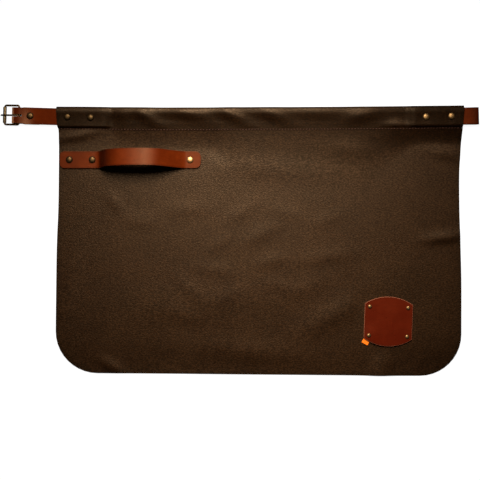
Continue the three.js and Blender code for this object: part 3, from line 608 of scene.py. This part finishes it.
# Buckle strap: firm smooth tan strap leather, 25 mm wide and 2.8 mm thick, riveted into the left
# end of the casing. Its free end is turned under round the buckle bar and riveted to itself, with
# a slot for the prong.
STRAP_WIDTH = 24.8
HALF_STRAP = STRAP_WIDTH / 2
STRAP_LEATHER = 2.8
STRAP_EDGE = 0.6
TURN_LOW = 2.4
TURN_HIGH = 5.5
BAR_HEIGHT = 5.6
TURN_RADIUS = 2.6
TURN_TOP = 8.8
TURN_NARROWED = 0.7
NARROWED_RUN = (-53.5, -48.0)
BED_LEFT = 5.2
SLOT_HALF = 1.6
SLOT_TIP = 0.3
SLOT_END = -52.4
SLOT_END_BELOW = -53.9
# Painted highlights: a pale nose on the turned end and a paler band across the strap near the
# buckle.
NOSE_X = (-335.8, -333.2)
HIGHLIGHT_X = -317
HIGHLIGHT_HALF = 8


def draw_line(rows, step):
    """Points at an even step along a smooth line through rows of (place, height)."""
    rows = np.array(rows, float)
    ends = np.concatenate([[2 * rows[0] - rows[1]], rows, [2 * rows[-1] - rows[-2]]])
    fine = []
    for a, b, c, d in zip(ends, ends[1:], ends[2:], ends[3:]):
        for t in np.arange(0, 1, 0.05):
            square = (2 * a - 5 * b + 4 * c - d) * t * t
            cube = (3 * b - a - 3 * c + d) * t ** 3
            fine.append((2 * b + (c - a) * t + square + cube) / 2)
    fine = np.array(fine + [rows[-1]])
    length = np.concatenate([[0], np.cumsum(np.hypot(*np.diff(fine, axis=0).T))])
    count = max(2, round(length[-1] / step))
    even = np.linspace(0, length[-1], count + 1)
    return np.stack([np.interp(even, length, fine[:, k]) for k in (0, 1)], axis=1)


def arc_rows(x, z, radius, first, last, steps):
    """Rows of (place, height) round part of a circle."""
    turns = np.radians(np.linspace(first, last, steps + 1))
    return [(x + radius * cos(t), z + radius * sin(t)) for t in turns]


def set_on(strap, points):
    """Points measured along and across a strap, set where the strap lies."""
    x = strap[0] + points[:, 0] * cos(strap[2]) - points[:, 1] * sin(strap[2])
    y = strap[1] + points[:, 0] * sin(strap[2]) + points[:, 1] * cos(strap[2])
    return np.stack([x, y, points[:, 2]], axis=1)


buckle_line = draw_line([
    (66, BED_LEFT), (40, BED_LEFT), (10, BED_LEFT), (-4, BED_LEFT),
    (-20, (BED_LEFT + TURN_HIGH) / 2), (-34.1, TURN_HIGH), (-46.6, TURN_HIGH),
    (-50.4, TURN_HIGH + 1.2), (-54.2, TURN_TOP - 0.5), (-57, TURN_TOP), (-60.2, TURN_TOP - 0.6),
    *arc_rows(-63.4, TURN_LOW + TURN_RADIUS, TURN_RADIUS, 75, 270, 10),
    (-55, TURN_LOW), (-44, TURN_LOW), (-27, TURN_LOW),
], 0.8)
slot_ends = np.where(buckle_line[:, 1] > BAR_HEIGHT, SLOT_END, SLOT_END_BELOW)
half_lines = np.array([HALF_STRAP, 12.0, 11.0, 9.0, 6.5, 4.0])
slot_lines = np.concatenate([half_lines, [0.0, 0.0, 0.0], -half_lines[::-1]])
MIDDLE_LINE = len(half_lines) + 1


def buckle_strap_points(column, row):
    """Middle of the strap, a little narrower at its turn, its inner lines set apart as a slot."""
    run, height = buckle_line[column].T
    half = HALF_STRAP - TURN_NARROWED * (1 - smooth(run, *NARROWED_RUN))
    inside = slot_ends[column] - run
    rounding = np.maximum(0, SLOT_HALF - inside)
    slot = np.sqrt(np.maximum(SLOT_TIP ** 2, SLOT_HALF ** 2 - rounding ** 2))
    slot = np.where(inside > 0, slot, np.minimum(SLOT_HALF, SLOT_TIP - 0.5 * inside))
    across = slot_lines[row] * half / HALF_STRAP
    across = np.where(row == MIDDLE_LINE - 1, slot, across)
    across = np.where(row == MIDDLE_LINE + 1, -slot, across)
    return set_on(BUCKLE_PLACE, np.stack([run, across, height], axis=1))


def strap_finish(name, dull, bright, deep, worn, wear_and_highlight, gloss, sheen=0.19):
    """Smooth dyed strap leather: clouded dye, fine pores, darkened margins and a paler cut edge,
    with a painted highlight and painted shade at bends where the piece notes them.
    """
    finish, maker = start_finish(name)
    place = maker.node("TexCoord", out="Object")
    margin = maker.noted("margin")
    cut = maker.noted("cut_edge")
    painted_highlight = maker.noted("painted_highlight")
    bend_shade = maker.noted("bend_shade")
    cloud = place.noise(38.0, 4.0, 0.55)
    streak = place.stretched((0.35, 1.0, 1.0)).noise(260.0, 3.0, 0.6)
    pores = place.cells(1300.0)
    wrinkle = place.stretched((1.0, 0.6, 1.0)).cells(240.0, "DISTANCE_TO_EDGE").step(0.0, 0.05)
    tone = cloud.step(0.32, 0.7).blend(dull, bright)
    tone = (streak.step(0.45, 0.8) * 0.35).blend(tone, deep)
    tone = margin.step(0.4, 3.2, 0.5, 0.0).blend(tone, deep)
    tone = (cut * 0.85).blend(tone, worn)
    # Painted light: a pale painted highlight and painted shade at bends, where the piece notes
    # them.
    tone = (painted_highlight * 0.9).blend(tone, wear_and_highlight).dimmed(1 - bend_shade)
    relief = streak * 0.4 + pores.step(0.0, 0.35) * 0.3 + wrinkle * 0.25
    close_finish(maker, {
        "Base Color": tone,
        "Roughness": gloss + cloud * 0.08 + cut * 0.3,
        "Specular IOR Level": sheen,
        "Specular Tint": (1.0, 0.57, 0.28, 1),
        "Normal": relief.bump(0.1, 0.0004),
    })
    return finish


buckle_strap, laid, column, row = lay_grid(
    "buckle_strap", len(buckle_line) - 1, len(slot_lines) - 1, buckle_strap_points)
from_middle = np.concatenate([half_lines, [SLOT_HALF, 0.0, SLOT_HALF], half_lines[::-1]])
note(buckle_strap, "margin", HALF_STRAP - from_middle[row])
# Painted highlights on the nose of the turn and in a band near the buckle, stronger towards the
# strap's lower edge, only on its upper layer.
nose_highlight = 1 - smooth(laid[:, 0], *NOSE_X)
across = (laid[:, 1] - BUCKLE_PLACE[1]) / STRAP_WIDTH
highlight_band = np.exp(-((laid[:, 0] - HIGHLIGHT_X) / HIGHLIGHT_HALF) ** 2) * (laid[:, 2] > TURN_LOW + 1)
note(buckle_strap, "painted_highlight", np.maximum(nose_highlight, highlight_band * (0.20 - 0.26 * across)))
bpy.ops.object.mode_set(mode="EDIT")
bpy.ops.mesh.select_all(action="DESELECT")
bpy.ops.object.mode_set(mode="OBJECT")
in_slot = (np.abs(row - MIDDLE_LINE) <= 1) & (buckle_line[column, 0] < slot_ends[column] + 0.01)
slot_faces = [all(in_slot[k] for k in face.vertices) for face in buckle_strap.data.polygons]
buckle_strap.data.polygons.foreach_set("select", slot_faces)
bpy.ops.object.mode_set(mode="EDIT")
bpy.ops.mesh.select_mode(type="FACE")
bpy.ops.mesh.delete(type="FACE")
bpy.ops.object.mode_set(mode="OBJECT")
thicken(buckle_strap, STRAP_LEATHER, STRAP_EDGE)
handled_strap = strap_finish(
    "handled_tan_strap",
    dull=(0.082, 0.0084, 0.0004, 1),
    bright=(0.112, 0.0126, 0.0008, 1),
    deep=(0.046, 0.0040, 0.0003, 1),
    worn=(0.24, 0.080, 0.030, 1),
    wear_and_highlight=(0.64, 0.28, 0.12, 1),
    gloss=0.35,
    sheen=0.06,
)
settle(buckle_strap, handled_strap, "apron", "strap_leather", "buckle_strap")

# Belt strap: the same leather, riveted into the right end of the casing. It turns under just
# outside the apron and runs back behind the waist to a rounded tip with a row of punched holes.
BED_RIGHT = 7.9
RUN_MIDDLE = 1.4
BELT_TURN_AT = 55.6
BELT_TURN_RADIUS = (BED_RIGHT - RUN_MIDDLE) / 2
BELT_VEER = sin(radians(1.1))
BELT_BEND_X = (335, 351)
TIP_LENGTH = 16
PUNCH_LENGTH = 6
HOLE_COUNT = 7
HOLE_RADIUS = 2.4
HOLE_PITCH = 25
HOLES_FROM_TIP = 70
belt_line = draw_line([
    (-35, BED_RIGHT), (-10, BED_RIGHT), (20, BED_RIGHT), (44, BED_RIGHT),
    *arc_rows(BELT_TURN_AT, RUN_MIDDLE + BELT_TURN_RADIUS, BELT_TURN_RADIUS, 90, -90, 10),
    (40, RUN_MIDDLE), (0, RUN_MIDDLE), (-200, RUN_MIDDLE), (-400, RUN_MIDDLE),
    (BELT_TIP, RUN_MIDDLE),
], 1.2)
strap_lines = np.concatenate([half_lines, [1.5, -1.5], -half_lines[::-1]])


def belt_half(run, height):
    """Half width of the belt, drawn in round the tip."""
    into = np.clip((BELT_TIP + TIP_LENGTH - run) / TIP_LENGTH, 0, 1)
    tip_half = HALF_STRAP * np.sqrt(np.maximum(0.02, 1 - into ** 3))
    return np.where(height < 3, tip_half, HALF_STRAP)


def belt_points(column, row):
    """Middle of the belt, which veers a little on its way back behind the waist."""
    run, height = belt_line[column].T
    across = strap_lines[row] / HALF_STRAP * belt_half(run, height)
    veer = np.maximum(0, BELT_TURN_AT - run) * BELT_VEER
    across = across + np.where(height < RUN_MIDDLE + 0.4, veer, 0.0)
    return set_on(BELT_PLACE, np.stack([run, across, height], axis=1))


belt, laid, _, row = lay_grid("belt", len(belt_line) - 1, len(strap_lines) - 1, belt_points)
note(belt, "margin", HALF_STRAP - np.abs(strap_lines[row]))
# Painted shade: the belt darkened towards its turn, where the light falls off.
note(belt, "bend_shade", 0.45 * smooth(laid[:, 0], *BELT_BEND_X))
thicken(belt, STRAP_LEATHER, STRAP_EDGE)
bpy.ops.mesh.primitive_cylinder_add(
    vertices=20, radius=HOLE_RADIUS * MM, depth=PUNCH_LENGTH * MM)
punch = bpy.context.object
punch_row = punch.modifiers.new("row", "ARRAY")
punch_row.count = HOLE_COUNT
punch_row.use_relative_offset = False
punch_row.use_constant_offset = True
punch_row.constant_offset_displace = (HOLE_PITCH * MM, 0, 0)
bpy.ops.object.modifier_apply(modifier=punch_row.name)
last_hole = BELT_TIP + HOLES_FROM_TIP - BELT_TURN_AT
punch.data.transform(
    Matrix.Translation((BELT_PLACE[0] * MM, BELT_PLACE[1] * MM, RUN_MIDDLE * MM))
    @ Matrix.Rotation(BELT_PLACE[2], 4, "Z")
    @ Matrix.Translation((BELT_TURN_AT * MM, 0, 0))
    @ Matrix.Rotation(-BELT_VEER, 4, "Z")
    @ Matrix.Translation((last_hole * MM, 0, 0))
)
bpy.ops.object.select_all(action="DESELECT")
belt.select_set(True)
bpy.context.view_layer.objects.active = belt
holes = belt.modifiers.new("holes", "BOOLEAN")
holes.object = punch
holes.operation = "DIFFERENCE"
bpy.ops.object.modifier_apply(modifier=holes.name)
bpy.data.objects.remove(punch)
tan_strap = strap_finish(
    "smooth_tan_strap",
    dull=(0.078, 0.0084, 0.0006, 1),
    bright=(0.108, 0.0128, 0.0011, 1),
    deep=(0.044, 0.0040, 0.0003, 1),
    worn=(0.24, 0.080, 0.030, 1),
    wear_and_highlight=(0.62, 0.30, 0.15, 1),
    gloss=0.35,
)
settle(belt, tan_strap, "apron", "strap_leather", "belt_strap")

# Buckle frame: one ring of brass wire bent square with rounded corners, its heel bar held in the
# turn of the strap. Antique finish: dark in the hollows, rubbed bright where it is handled.
WIRE_RADIUS = 1.5
WIRE_CORNER = 2.75
HEEL_AT = -56.7
FRAME_LENGTH = 22.0
FRAME_HALF = 14.1
FRAME_SHIFT = 0.7
ROLLER_RADIUS = 2.6
DROOP = asin((BAR_HEIGHT - ROLLER_RADIUS) / FRAME_LENGTH)
heel = (
    Matrix.Translation((BUCKLE_PLACE[0] * MM, BUCKLE_PLACE[1] * MM, 0))
    @ Matrix.Rotation(BUCKLE_PLACE[2], 4, "Z")
    @ Matrix.Translation((HEEL_AT * MM, 0, BAR_HEIGHT * MM))
    @ Matrix.Rotation(-DROOP, 4, "Y")
)
ring_place = heel @ Matrix.Translation((0, FRAME_SHIFT * MM, 0))


def antique_brass(name, dark, bright, wear_and_highlight, gloss):
    """Old brass: a dark skin rubbed through to warm metal on the high places, finely scratched, and
    made lighter or darker by a painted light gain for how the light catches each piece.
    """
    finish, maker = start_finish(name)
    place = maker.node("TexCoord", out="Object")
    raised = maker.noted("raised")
    painted_light_gain = maker.noted("painted_light_gain")
    blotch = place.noise(420.0, 4.0, 0.6)
    scratch = place.stretched((1.0, 0.15, 1.0)).noise(2600.0, 2.0)
    wear = (raised * 0.75 + blotch * 0.6 + scratch * 0.12).step(0.35, wear_and_highlight)
    close_finish(maker, {
        # Painted light: the colour is scaled up or down by the piece's painted light gain.
        "Base Color": wear.blend(dark, bright).dimmed(painted_light_gain + 1),
        "Metallic": 1.0,
        "Roughness": gloss - wear * 0.1 + scratch * 0.06,
        "Normal": (blotch + scratch * 0.5).bump(0.2, 0.0002),
    })
    return finish


bpy.ops.mesh.primitive_plane_add(size=1)
wire = bpy.context.object
wire.name = "buckle_wire"
bpy.ops.object.mode_set(mode="EDIT")
bpy.ops.transform.resize(
    value=(FRAME_LENGTH * MM, FRAME_HALF * 2 * MM, 1), center_override=(0, 0, 0))
bpy.ops.transform.translate(value=(-FRAME_LENGTH / 2 * MM, 0, 0))
bpy.ops.mesh.bevel(affect="VERTICES", offset=WIRE_CORNER * MM, segments=8)
bpy.ops.mesh.delete(type="ONLY_FACE")
bpy.ops.object.mode_set(mode="OBJECT")
bpy.ops.object.convert(target="CURVE")
wire.data.bevel_depth = WIRE_RADIUS * MM
wire.data.bevel_resolution = 4
bpy.ops.object.convert(target="MESH")
wire = bpy.context.object
high = np.array([corner.co.z for corner in wire.data.vertices]) / (WIRE_RADIUS * MM)
note(wire, "raised", 0.35 + 0.65 * np.clip(high, 0, 1))
wire.data.transform(ring_place)
bpy.ops.object.shade_smooth()
wire_brass = antique_brass(
    "buckle_brass",
    dark=(0.012, 0.006, 0.0025, 1), bright=(0.13, 0.072, 0.030, 1), wear_and_highlight=1.2, gloss=0.5)
settle(wire, wire_brass, "buckle_frame", "antique_brass", "buckle_frame")

# Buckle roller: a thin brass tube with softened rims that turns on the toe bar of the frame. Its
# dark skin is rubbed through along its length, and it is painted lighter towards its lower end and
# darker towards its upper end, evening out the light that falls on it.
ROLLER_BORE = 1.9
ROLLER_LENGTH = 23.6
ROLLER_RIM = 0.18
bpy.ops.mesh.primitive_cylinder_add(
    vertices=36,
    radius=(ROLLER_RADIUS + ROLLER_BORE) / 2 * MM,
    depth=ROLLER_LENGTH * MM,
    end_fill_type="NOTHING",
)
roller = bpy.context.object
roller.name = "roller"
wall = roller.modifiers.new("wall", "SOLIDIFY")
wall.thickness = (ROLLER_RADIUS - ROLLER_BORE) * MM
wall.offset = 0.0
bpy.ops.object.modifier_apply(modifier=wall.name)
rims = roller.modifiers.new("rims", "BEVEL")
rims.width = ROLLER_RIM * MM
rims.segments = 2
rims.limit_method = "ANGLE"
bpy.ops.object.modifier_apply(modifier=rims.name)
middle = np.array([corner.co.z for corner in roller.data.vertices]) / (ROLLER_LENGTH / 2 * MM)
note(roller, "raised", 0.75 - 0.35 * np.abs(middle) ** 6)
# Painted light: lighter towards the lower end, darker towards the upper end.
note(roller, "painted_light_gain", 0.25 + 0.65 * middle)
roller.data.transform(
    ring_place
    @ Matrix.Translation((-FRAME_LENGTH * MM, 0, 0))
    @ Matrix.Rotation(pi / 2, 4, "X")
)
bpy.ops.object.shade_smooth_by_angle(angle=radians(40))
roller_brass = antique_brass(
    "roller_brass",
    dark=(0.03, 0.017, 0.007, 1), bright=(0.36, 0.23, 0.105, 1), wear_and_highlight=0.9, gloss=0.52)
settle(roller, roller_brass, "buckle_roller", "antique_brass", "buckle_roller")

# Buckle prong: a flat brass tongue with an eye bent round the heel bar, laid over the roller, its
# tip turned down and rounded.
EYE_RADIUS = 2.25
EYE_WIRE = 0.55
EYE_WIDENED = 2.4
bpy.ops.mesh.primitive_torus_add(
    major_radius=EYE_RADIUS * MM,
    minor_radius=EYE_WIRE * MM,
    major_segments=24,
    minor_segments=10,
    rotation=(pi / 2, 0, 0),
)
eye_ring = bpy.context.object
bpy.ops.object.mode_set(mode="EDIT")
bpy.ops.transform.resize(value=(1, EYE_WIDENED, 1), center_override=(0, 0, 0))
bpy.ops.object.mode_set(mode="OBJECT")
bpy.ops.object.transform_apply(location=True, rotation=True, scale=True)
bpy.ops.mesh.primitive_circle_add(
    vertices=14, radius=MM, fill_type="NGON", rotation=(0, -pi / 2, 0))
prong = bpy.context.object
prong.name = "prong"
bpy.ops.object.transform_apply(location=True, rotation=True, scale=True)
# Sections of the tongue: distance from the heel bar, middle height, half width, half thickness.
PRONG_SECTIONS = [
    (-0.4, 2.30, 1.20, 0.45), (-1.6, 2.40, 1.32, 0.62), (-4, 2.75, 1.34, 0.75),
    (-10, 3.10, 1.36, 0.82), (-16, 3.30, 1.40, 0.85), (-21, 3.40, 1.40, 0.85),
    (-24, 3.28, 1.34, 0.78), (-26, 2.85, 1.22, 0.66), (-27.4, 2.35, 0.95, 0.50),
    (-27.95, 2.1, 0.45, 0.26),
]
bpy.ops.object.mode_set(mode="EDIT")
bpy.ops.mesh.select_all(action="SELECT")
at = (0.0, 0.0, 1.0, 1.0)
for k, section in enumerate(PRONG_SECTIONS):
    move = ((section[0] - at[0]) * MM, 0, (section[1] - at[1]) * MM)
    if k:
        bpy.ops.mesh.extrude_region_move(TRANSFORM_OT_translate={"value": move})
    else:
        bpy.ops.transform.translate(value=move)
    middle = (section[0] * MM, 0, section[1] * MM)
    grow = (1, section[2] / at[2], section[3] / at[3])
    bpy.ops.transform.resize(value=grow, center_override=middle)
    at = section
bpy.ops.mesh.select_all(action="SELECT")
bpy.ops.mesh.normals_make_consistent(inside=False)
bpy.ops.object.mode_set(mode="OBJECT")
bpy.ops.object.select_all(action="DESELECT")
eye_ring.select_set(True)
prong.select_set(True)
bpy.context.view_layer.objects.active = prong
bpy.ops.object.join()
high = np.array([corner.co.z for corner in prong.data.vertices]) / MM
note(prong, "raised", np.clip(0.2 + 0.2 * high, 0, 1))
prong.data.transform(heel)
bpy.ops.object.shade_smooth()
settle(prong, wire_brass, "buckle_prong", "antique_brass", "buckle_prong")

# Rivets of the straps and the hem: two-part brass rivets with a domed cap on the front, a flat back
# and a shank pressed through the leather.
SEAT_GAP = 0.3
CAP_RIM = 0.28
HEM_SEAT = 0.2
# Painted light gain of each rivet's colour: the hem rivets on the left and the strap rivet darker,
# those on the right lighter, for how the light catches them.
HEM_LIGHT_GAIN = (-0.55, -0.55, 0.7, 0.7)
STRAP_RIVET_RUN = -40.1
STRAP_RIVET_LIGHT_GAIN = -0.2
# Points of a rivet higher than this go on top of the leather, and the rest go under it.
CAP_FROM = -0.0005


def turn_rivet(cap, dome, shank, back, back_thick):
    """One rivet turned up ring by ring on the origin: back below zero, cap above."""
    rings = [(back, -back_thick), (back, -0.12), (back * 0.96, 0.0)]
    rings += [(shank, -0.001), (shank, 0.0), (cap * 0.965, 0.0)]
    for turn in np.radians([0, 14, 28, 42, 56, 70, 82]):
        rings.append((cap * cos(turn) ** 0.8, CAP_RIM + (dome - CAP_RIM) * sin(turn) ** 1.15))
    bpy.ops.mesh.primitive_circle_add(
        vertices=28, radius=back * MM, fill_type="NGON", location=(0, 0, -back_thick * MM))
    rivet = bpy.context.object
    bpy.ops.object.transform_apply(location=True, rotation=True, scale=True)
    bpy.ops.object.mode_set(mode="EDIT")
    bpy.ops.mesh.select_all(action="SELECT")
    for (wide, low), (next_wide, next_low) in zip(rings, rings[1:]):
        rise = (0, 0, (next_low - low) * MM)
        grow = next_wide / wide
        bpy.ops.mesh.extrude_region_move(TRANSFORM_OT_translate={"value": rise})
        bpy.ops.transform.resize(value=(grow, grow, 1), center_override=(0, 0, next_low * MM))
    bpy.ops.mesh.select_all(action="SELECT")
    bpy.ops.mesh.normals_make_consistent(inside=False)
    bpy.ops.object.mode_set(mode="OBJECT")
    bpy.ops.object.shade_smooth_by_angle(angle=radians(40))
    high = np.array([corner.co.z for corner in rivet.data.vertices]) / MM
    note(rivet, "raised", np.clip(high / dome, 0, 1))
    return rivet


rivet_brass = antique_brass(
    "rivet_brass",
    dark=(0.060, 0.033, 0.012, 1), bright=(0.17, 0.090, 0.032, 1), wear_and_highlight=0.95, gloss=0.56)


def set_rivet(pattern, name, x, y, under, over, painted_light_gain):
    """A copy of a rivet, its back under the leather and its cap on top, its colour painted lighter
    or darker for how the light catches it.
    """
    rivet = bpy.data.objects.new(name, pattern.data.copy())
    rivet.data.name = name
    bpy.context.collection.objects.link(rivet)
    points = np.empty(len(rivet.data.vertices) * 3)
    rivet.data.vertices.foreach_get("co", points)
    points = points.reshape(-1, 3)
    in_cap = points[:, 2] > CAP_FROM * MM
    points[:, 0] += x * MM
    points[:, 1] += y * MM
    points[:, 2] += np.where(in_cap, over + SEAT_GAP, under - SEAT_GAP) * MM
    rivet.data.vertices.foreach_set("co", points.ravel())
    note(rivet, "painted_light_gain", np.full(len(points), painted_light_gain))
    settle(rivet, rivet_brass, "apron", "antique_brass", name)


rivet = turn_rivet(cap=5.1, dome=2.7, shank=1.6, back=4.6, back_thick=0.7)
for k, ((x, y), painted_light_gain) in enumerate(zip(HEM_RIVETS, HEM_LIGHT_GAIN), 1):
    over = panel_top(x, y) + HEM_SEAT
    set_rivet(rivet, f"hem_rivet_{k}", x, y, resting_height(x, y), over, painted_light_gain)
x, y = spot_on(BUCKLE_PLACE, STRAP_RIVET_RUN)
over = TURN_HIGH + STRAP_LEATHER / 2
set_rivet(rivet, "strap_rivet", x, y, LIE_HEIGHT, over, STRAP_RIVET_LIGHT_GAIN)

# Towel loop: a length of the tan strap riveted flat at both ends, two rivets on the left and one on
# the right, and left standing up between them in a lopsided arch that leans to the waist.
LOOP_LEFT = -267.3
LOOP_RIGHT = -57.8
LOOP_LEFT_CORNER = 7.5
LOOP_RIGHT_CORNER = 8.5
LOOP_Y = 118.8
LOOP_RISE = 31.0
LOOP_LEAN = 2.6
LOOP_TWIST = sin(radians(6))
LOOP_SEAT = LIE_HEIGHT + PANEL_LEATHER + SEAT_GAP + STRAP_LEATHER / 2
LOOP_BEND_X = -202
# The arch: places along the loop and shares of its rise. The rivets: their places and painted
# light gain.
LOOP_ARCH = [
    (-211.5, 0), (-206.5, 0.08), (-201, 0.38), (-195, 0.62), (-183, 0.82),
    (-167, 0.95), (-150, 1.0), (-135, 0.98), (-120, 0.84), (-106, 0.53),
    (-94, 0.24), (-86, 0.075), (-81, 0.008), (-77, 0),
]
LOOP_RIVETS = [(-252.6, -0.5), (-218.7, -0.4), (-73.9, 2.6)]
left_end = [(x, LOOP_SEAT) for x in (LOOP_LEFT, -250, -235, -222)]
right_end = [(x, LOOP_SEAT) for x in (-68, LOOP_RIGHT)]
arch = [(x, LOOP_SEAT + rise * LOOP_RISE) for x, rise in LOOP_ARCH]
loop_line = draw_line(left_end + arch + right_end, 1.1)


def rounded_half(radius, inset):
    """Half width of a strap at a distance in from its end, for a rounded corner."""
    short = np.maximum(0, radius - inset)
    return HALF_STRAP - radius + np.sqrt(np.maximum(0.01, radius ** 2 - short ** 2))


def loop_points(column, row):
    """Middle of the loop, which leans and twists a little where it stands up."""
    x, height = loop_line[column].T
    left_half = rounded_half(LOOP_LEFT_CORNER, x - LOOP_LEFT)
    right_half = rounded_half(LOOP_RIGHT_CORNER, LOOP_RIGHT - x)
    half = np.minimum(left_half, right_half)
    lift = np.maximum(0, height - LOOP_SEAT - STRAP_LEATHER / 2) / LOOP_RISE
    across = strap_lines[row] / HALF_STRAP * half
    y = LOOP_Y + LOOP_LEAN * lift + across
    return np.stack([x, y, height - LOOP_TWIST * lift * across], axis=1)


loop, laid, _, row = lay_grid("towel_loop", len(loop_line) - 1, len(strap_lines) - 1, loop_points)
ends = np.minimum(laid[:, 0] - LOOP_LEFT, LOOP_RIGHT - laid[:, 0])
note(loop, "margin", np.minimum(HALF_STRAP - np.abs(strap_lines[row]), ends))
# Painted shade: the loop darkened round its steep left bend, which faces away from the light.
from_bend = (laid[:, 0] - LOOP_BEND_X) / np.where(laid[:, 0] < LOOP_BEND_X, 6.5, 17.0)
note(loop, "bend_shade", 0.68 * np.exp(-from_bend ** 2))
thicken(loop, STRAP_LEATHER, STRAP_EDGE)
settle(loop, tan_strap, "apron", "strap_leather", "towel_loop")
for k, (x, painted_light_gain) in enumerate(LOOP_RIVETS, 1):
    under = resting_height(x, LOOP_Y)
    set_rivet(rivet, f"loop_rivet_{k}", x, LOOP_Y, under, LOOP_SEAT + STRAP_LEATHER / 2, painted_light_gain)

# Patch: a plate of firm red-tan leather with straight sides, bowed top and bottom and rounded
# edges, held by a small domed rivet in each corner.
PATCH_LEATHER = 2.2
PATCH_EDGE = 0.8
PATCH_CELLS = 60
PATCH_MIDDLE = (219.7, -120.8)
PATCH_TURN = radians(-2.3)
PATCH_WIDTH = 71.6
PATCH_SIDE = 51.2
PATCH_HEIGHT = 73.8
PATCH_LIFT = 1.45
PATCH_LIFT_SPOT = (188.8, -145.8)
PATCH_LIFT_REACH = 16
# Painted light gain of the patch rivets' colour.
PATCH_LIGHT_GAIN = 0.5
PATCH_RIVETS = [(-28.4, 21.3), (28.4, 21.3), (-28.4, -21.3), (28.4, -21.3)]
PATCH_BOW = (PATCH_HEIGHT - PATCH_SIDE) / 2
BOW_RADIUS = ((PATCH_WIDTH / 2) ** 2 + PATCH_BOW ** 2) / (2 * PATCH_BOW)
patch_bed = panel_top(*PATCH_MIDDLE) + SEAT_GAP + PATCH_LEATHER / 2


def patch_level(x, y):
    """Height of the middle of the patch, lifted at the corner that lies over the tab."""
    away = np.hypot(x - PATCH_LIFT_SPOT[0], y - PATCH_LIFT_SPOT[1]) / PATCH_LIFT_REACH
    return patch_bed + PATCH_LIFT * np.exp(-away * away)


def from_patch(u, v):
    """Place of a point measured from the middle of the patch along its sides."""
    x = PATCH_MIDDLE[0] + u * cos(PATCH_TURN) - v * sin(PATCH_TURN)
    y = PATCH_MIDDLE[1] + u * sin(PATCH_TURN) + v * cos(PATCH_TURN)
    return x, y


def patch_local(column, row):
    """Point of the patch measured along its sides, and how far up its bowed edge lies there."""
    u = (column / PATCH_CELLS - 0.5) * PATCH_WIDTH
    edge = PATCH_SIDE / 2 + np.sqrt(BOW_RADIUS ** 2 - u * u) - (BOW_RADIUS - PATCH_BOW)
    return u, edge * (1 - row / (PATCH_CELLS / 2)), edge


def patch_points(column, row):
    """Middle of the patch for each column and row of its grid."""
    u, v, _ = patch_local(column, row)
    x, y = from_patch(u, v)
    return np.stack([x, y, patch_level(x, y)], axis=1)


patch, _, column, row = lay_grid("patch", PATCH_CELLS, PATCH_CELLS, patch_points)
u, v, edge = patch_local(column, row)
note(patch, "margin", np.minimum(PATCH_WIDTH / 2 - np.abs(u), edge - np.abs(v)))
thicken(patch, PATCH_LEATHER, PATCH_EDGE)
patch_finish = strap_finish(
    "red_tan_patch",
    dull=(0.068, 0.0046, 0.0007, 1),
    bright=(0.083, 0.0064, 0.0010, 1),
    deep=(0.045, 0.0036, 0.0006, 1),
    worn=(0.21, 0.064, 0.03, 1),
    wear_and_highlight=(0.21, 0.064, 0.03, 1),
    gloss=0.34,
)
settle(patch, patch_finish, "apron", "patch_leather", "leather_patch")
small_rivet = turn_rivet(cap=3.0, dome=1.7, shank=1.1, back=3.0, back_thick=0.7)
for k, (u, v) in enumerate(PATCH_RIVETS, 1):
    x, y = from_patch(u, v)
    over = patch_level(x, y) + PATCH_LEATHER / 2
    under = resting_height(x, y)
    set_rivet(small_rivet, f"patch_rivet_{k}", x, y, under, over, PATCH_LIGHT_GAIN)
bpy.data.objects.remove(rivet)
bpy.data.objects.remove(small_rivet)

# Tab: a short length of bright orange woven ribbon, folded double, its ends held under the lower
# left corner of the patch.
TAB_PLACE = (187.6, -148.0, radians(-119))
TAB_WIDTH = 9.8
TAB_RIBBON = 0.44
TAB_BEND = 0.25
TAB_CELLS = 16
THREADS = 9.0
tab_low = panel_top(*TAB_PLACE[:2]) + SEAT_GAP
lower_ply = tab_low + TAB_BEND
upper_ply = tab_low + 3 * TAB_BEND
tab_line = draw_line([
    (-4.8, lower_ply), (0, lower_ply), (4, lower_ply),
    *arc_rows(6.3, tab_low + 2 * TAB_BEND, TAB_BEND, -90, 90, 4),
    (4, upper_ply), (0, upper_ply), (-4.8, upper_ply),
], 0.25)


def tab_points(column, row):
    """Middle of the ribbon along its fold."""
    run, height = tab_line[column].T
    across = (0.5 - row / TAB_CELLS) * TAB_WIDTH
    return set_on(TAB_PLACE, np.stack([run, across, height], axis=1))


tab, _, column, row = lay_grid("tab", len(tab_line) - 1, TAB_CELLS, tab_points)
note(tab, "weft", tab_line[column][:, 0])
note(tab, "warp", (0.5 - row / TAB_CELLS) * TAB_WIDTH)
thicken(tab, TAB_RIBBON)
tab_finish, maker = start_finish("orange_ribbon")
rib = (maker.noted("weft") * THREADS).sine()
cord = (maker.noted("warp") * THREADS).sine()
weave = rib * cord * 0.5 + 0.5
close_finish(maker, {
    "Base Color": weave.blend((0.74, 0.125, 0.005, 1), (0.94, 0.20, 0.010, 1)),
    "Roughness": 0.7,
    "Specular IOR Level": 0.1,
    # Painted glow: a faint emission makes the ribbon glow a little of itself, for its fluorescent
    # brightness.
    "Emission Color": weave.blend((1.0, 0.16, 0.006, 1), (1.0, 0.22, 0.010, 1)),
    "Emission Strength": 0.1,
    "Normal": weave.bump(0.4, 0.0002),
})
settle(tab, tab_finish, "apron", "tab_ribbon", "patch_tab")
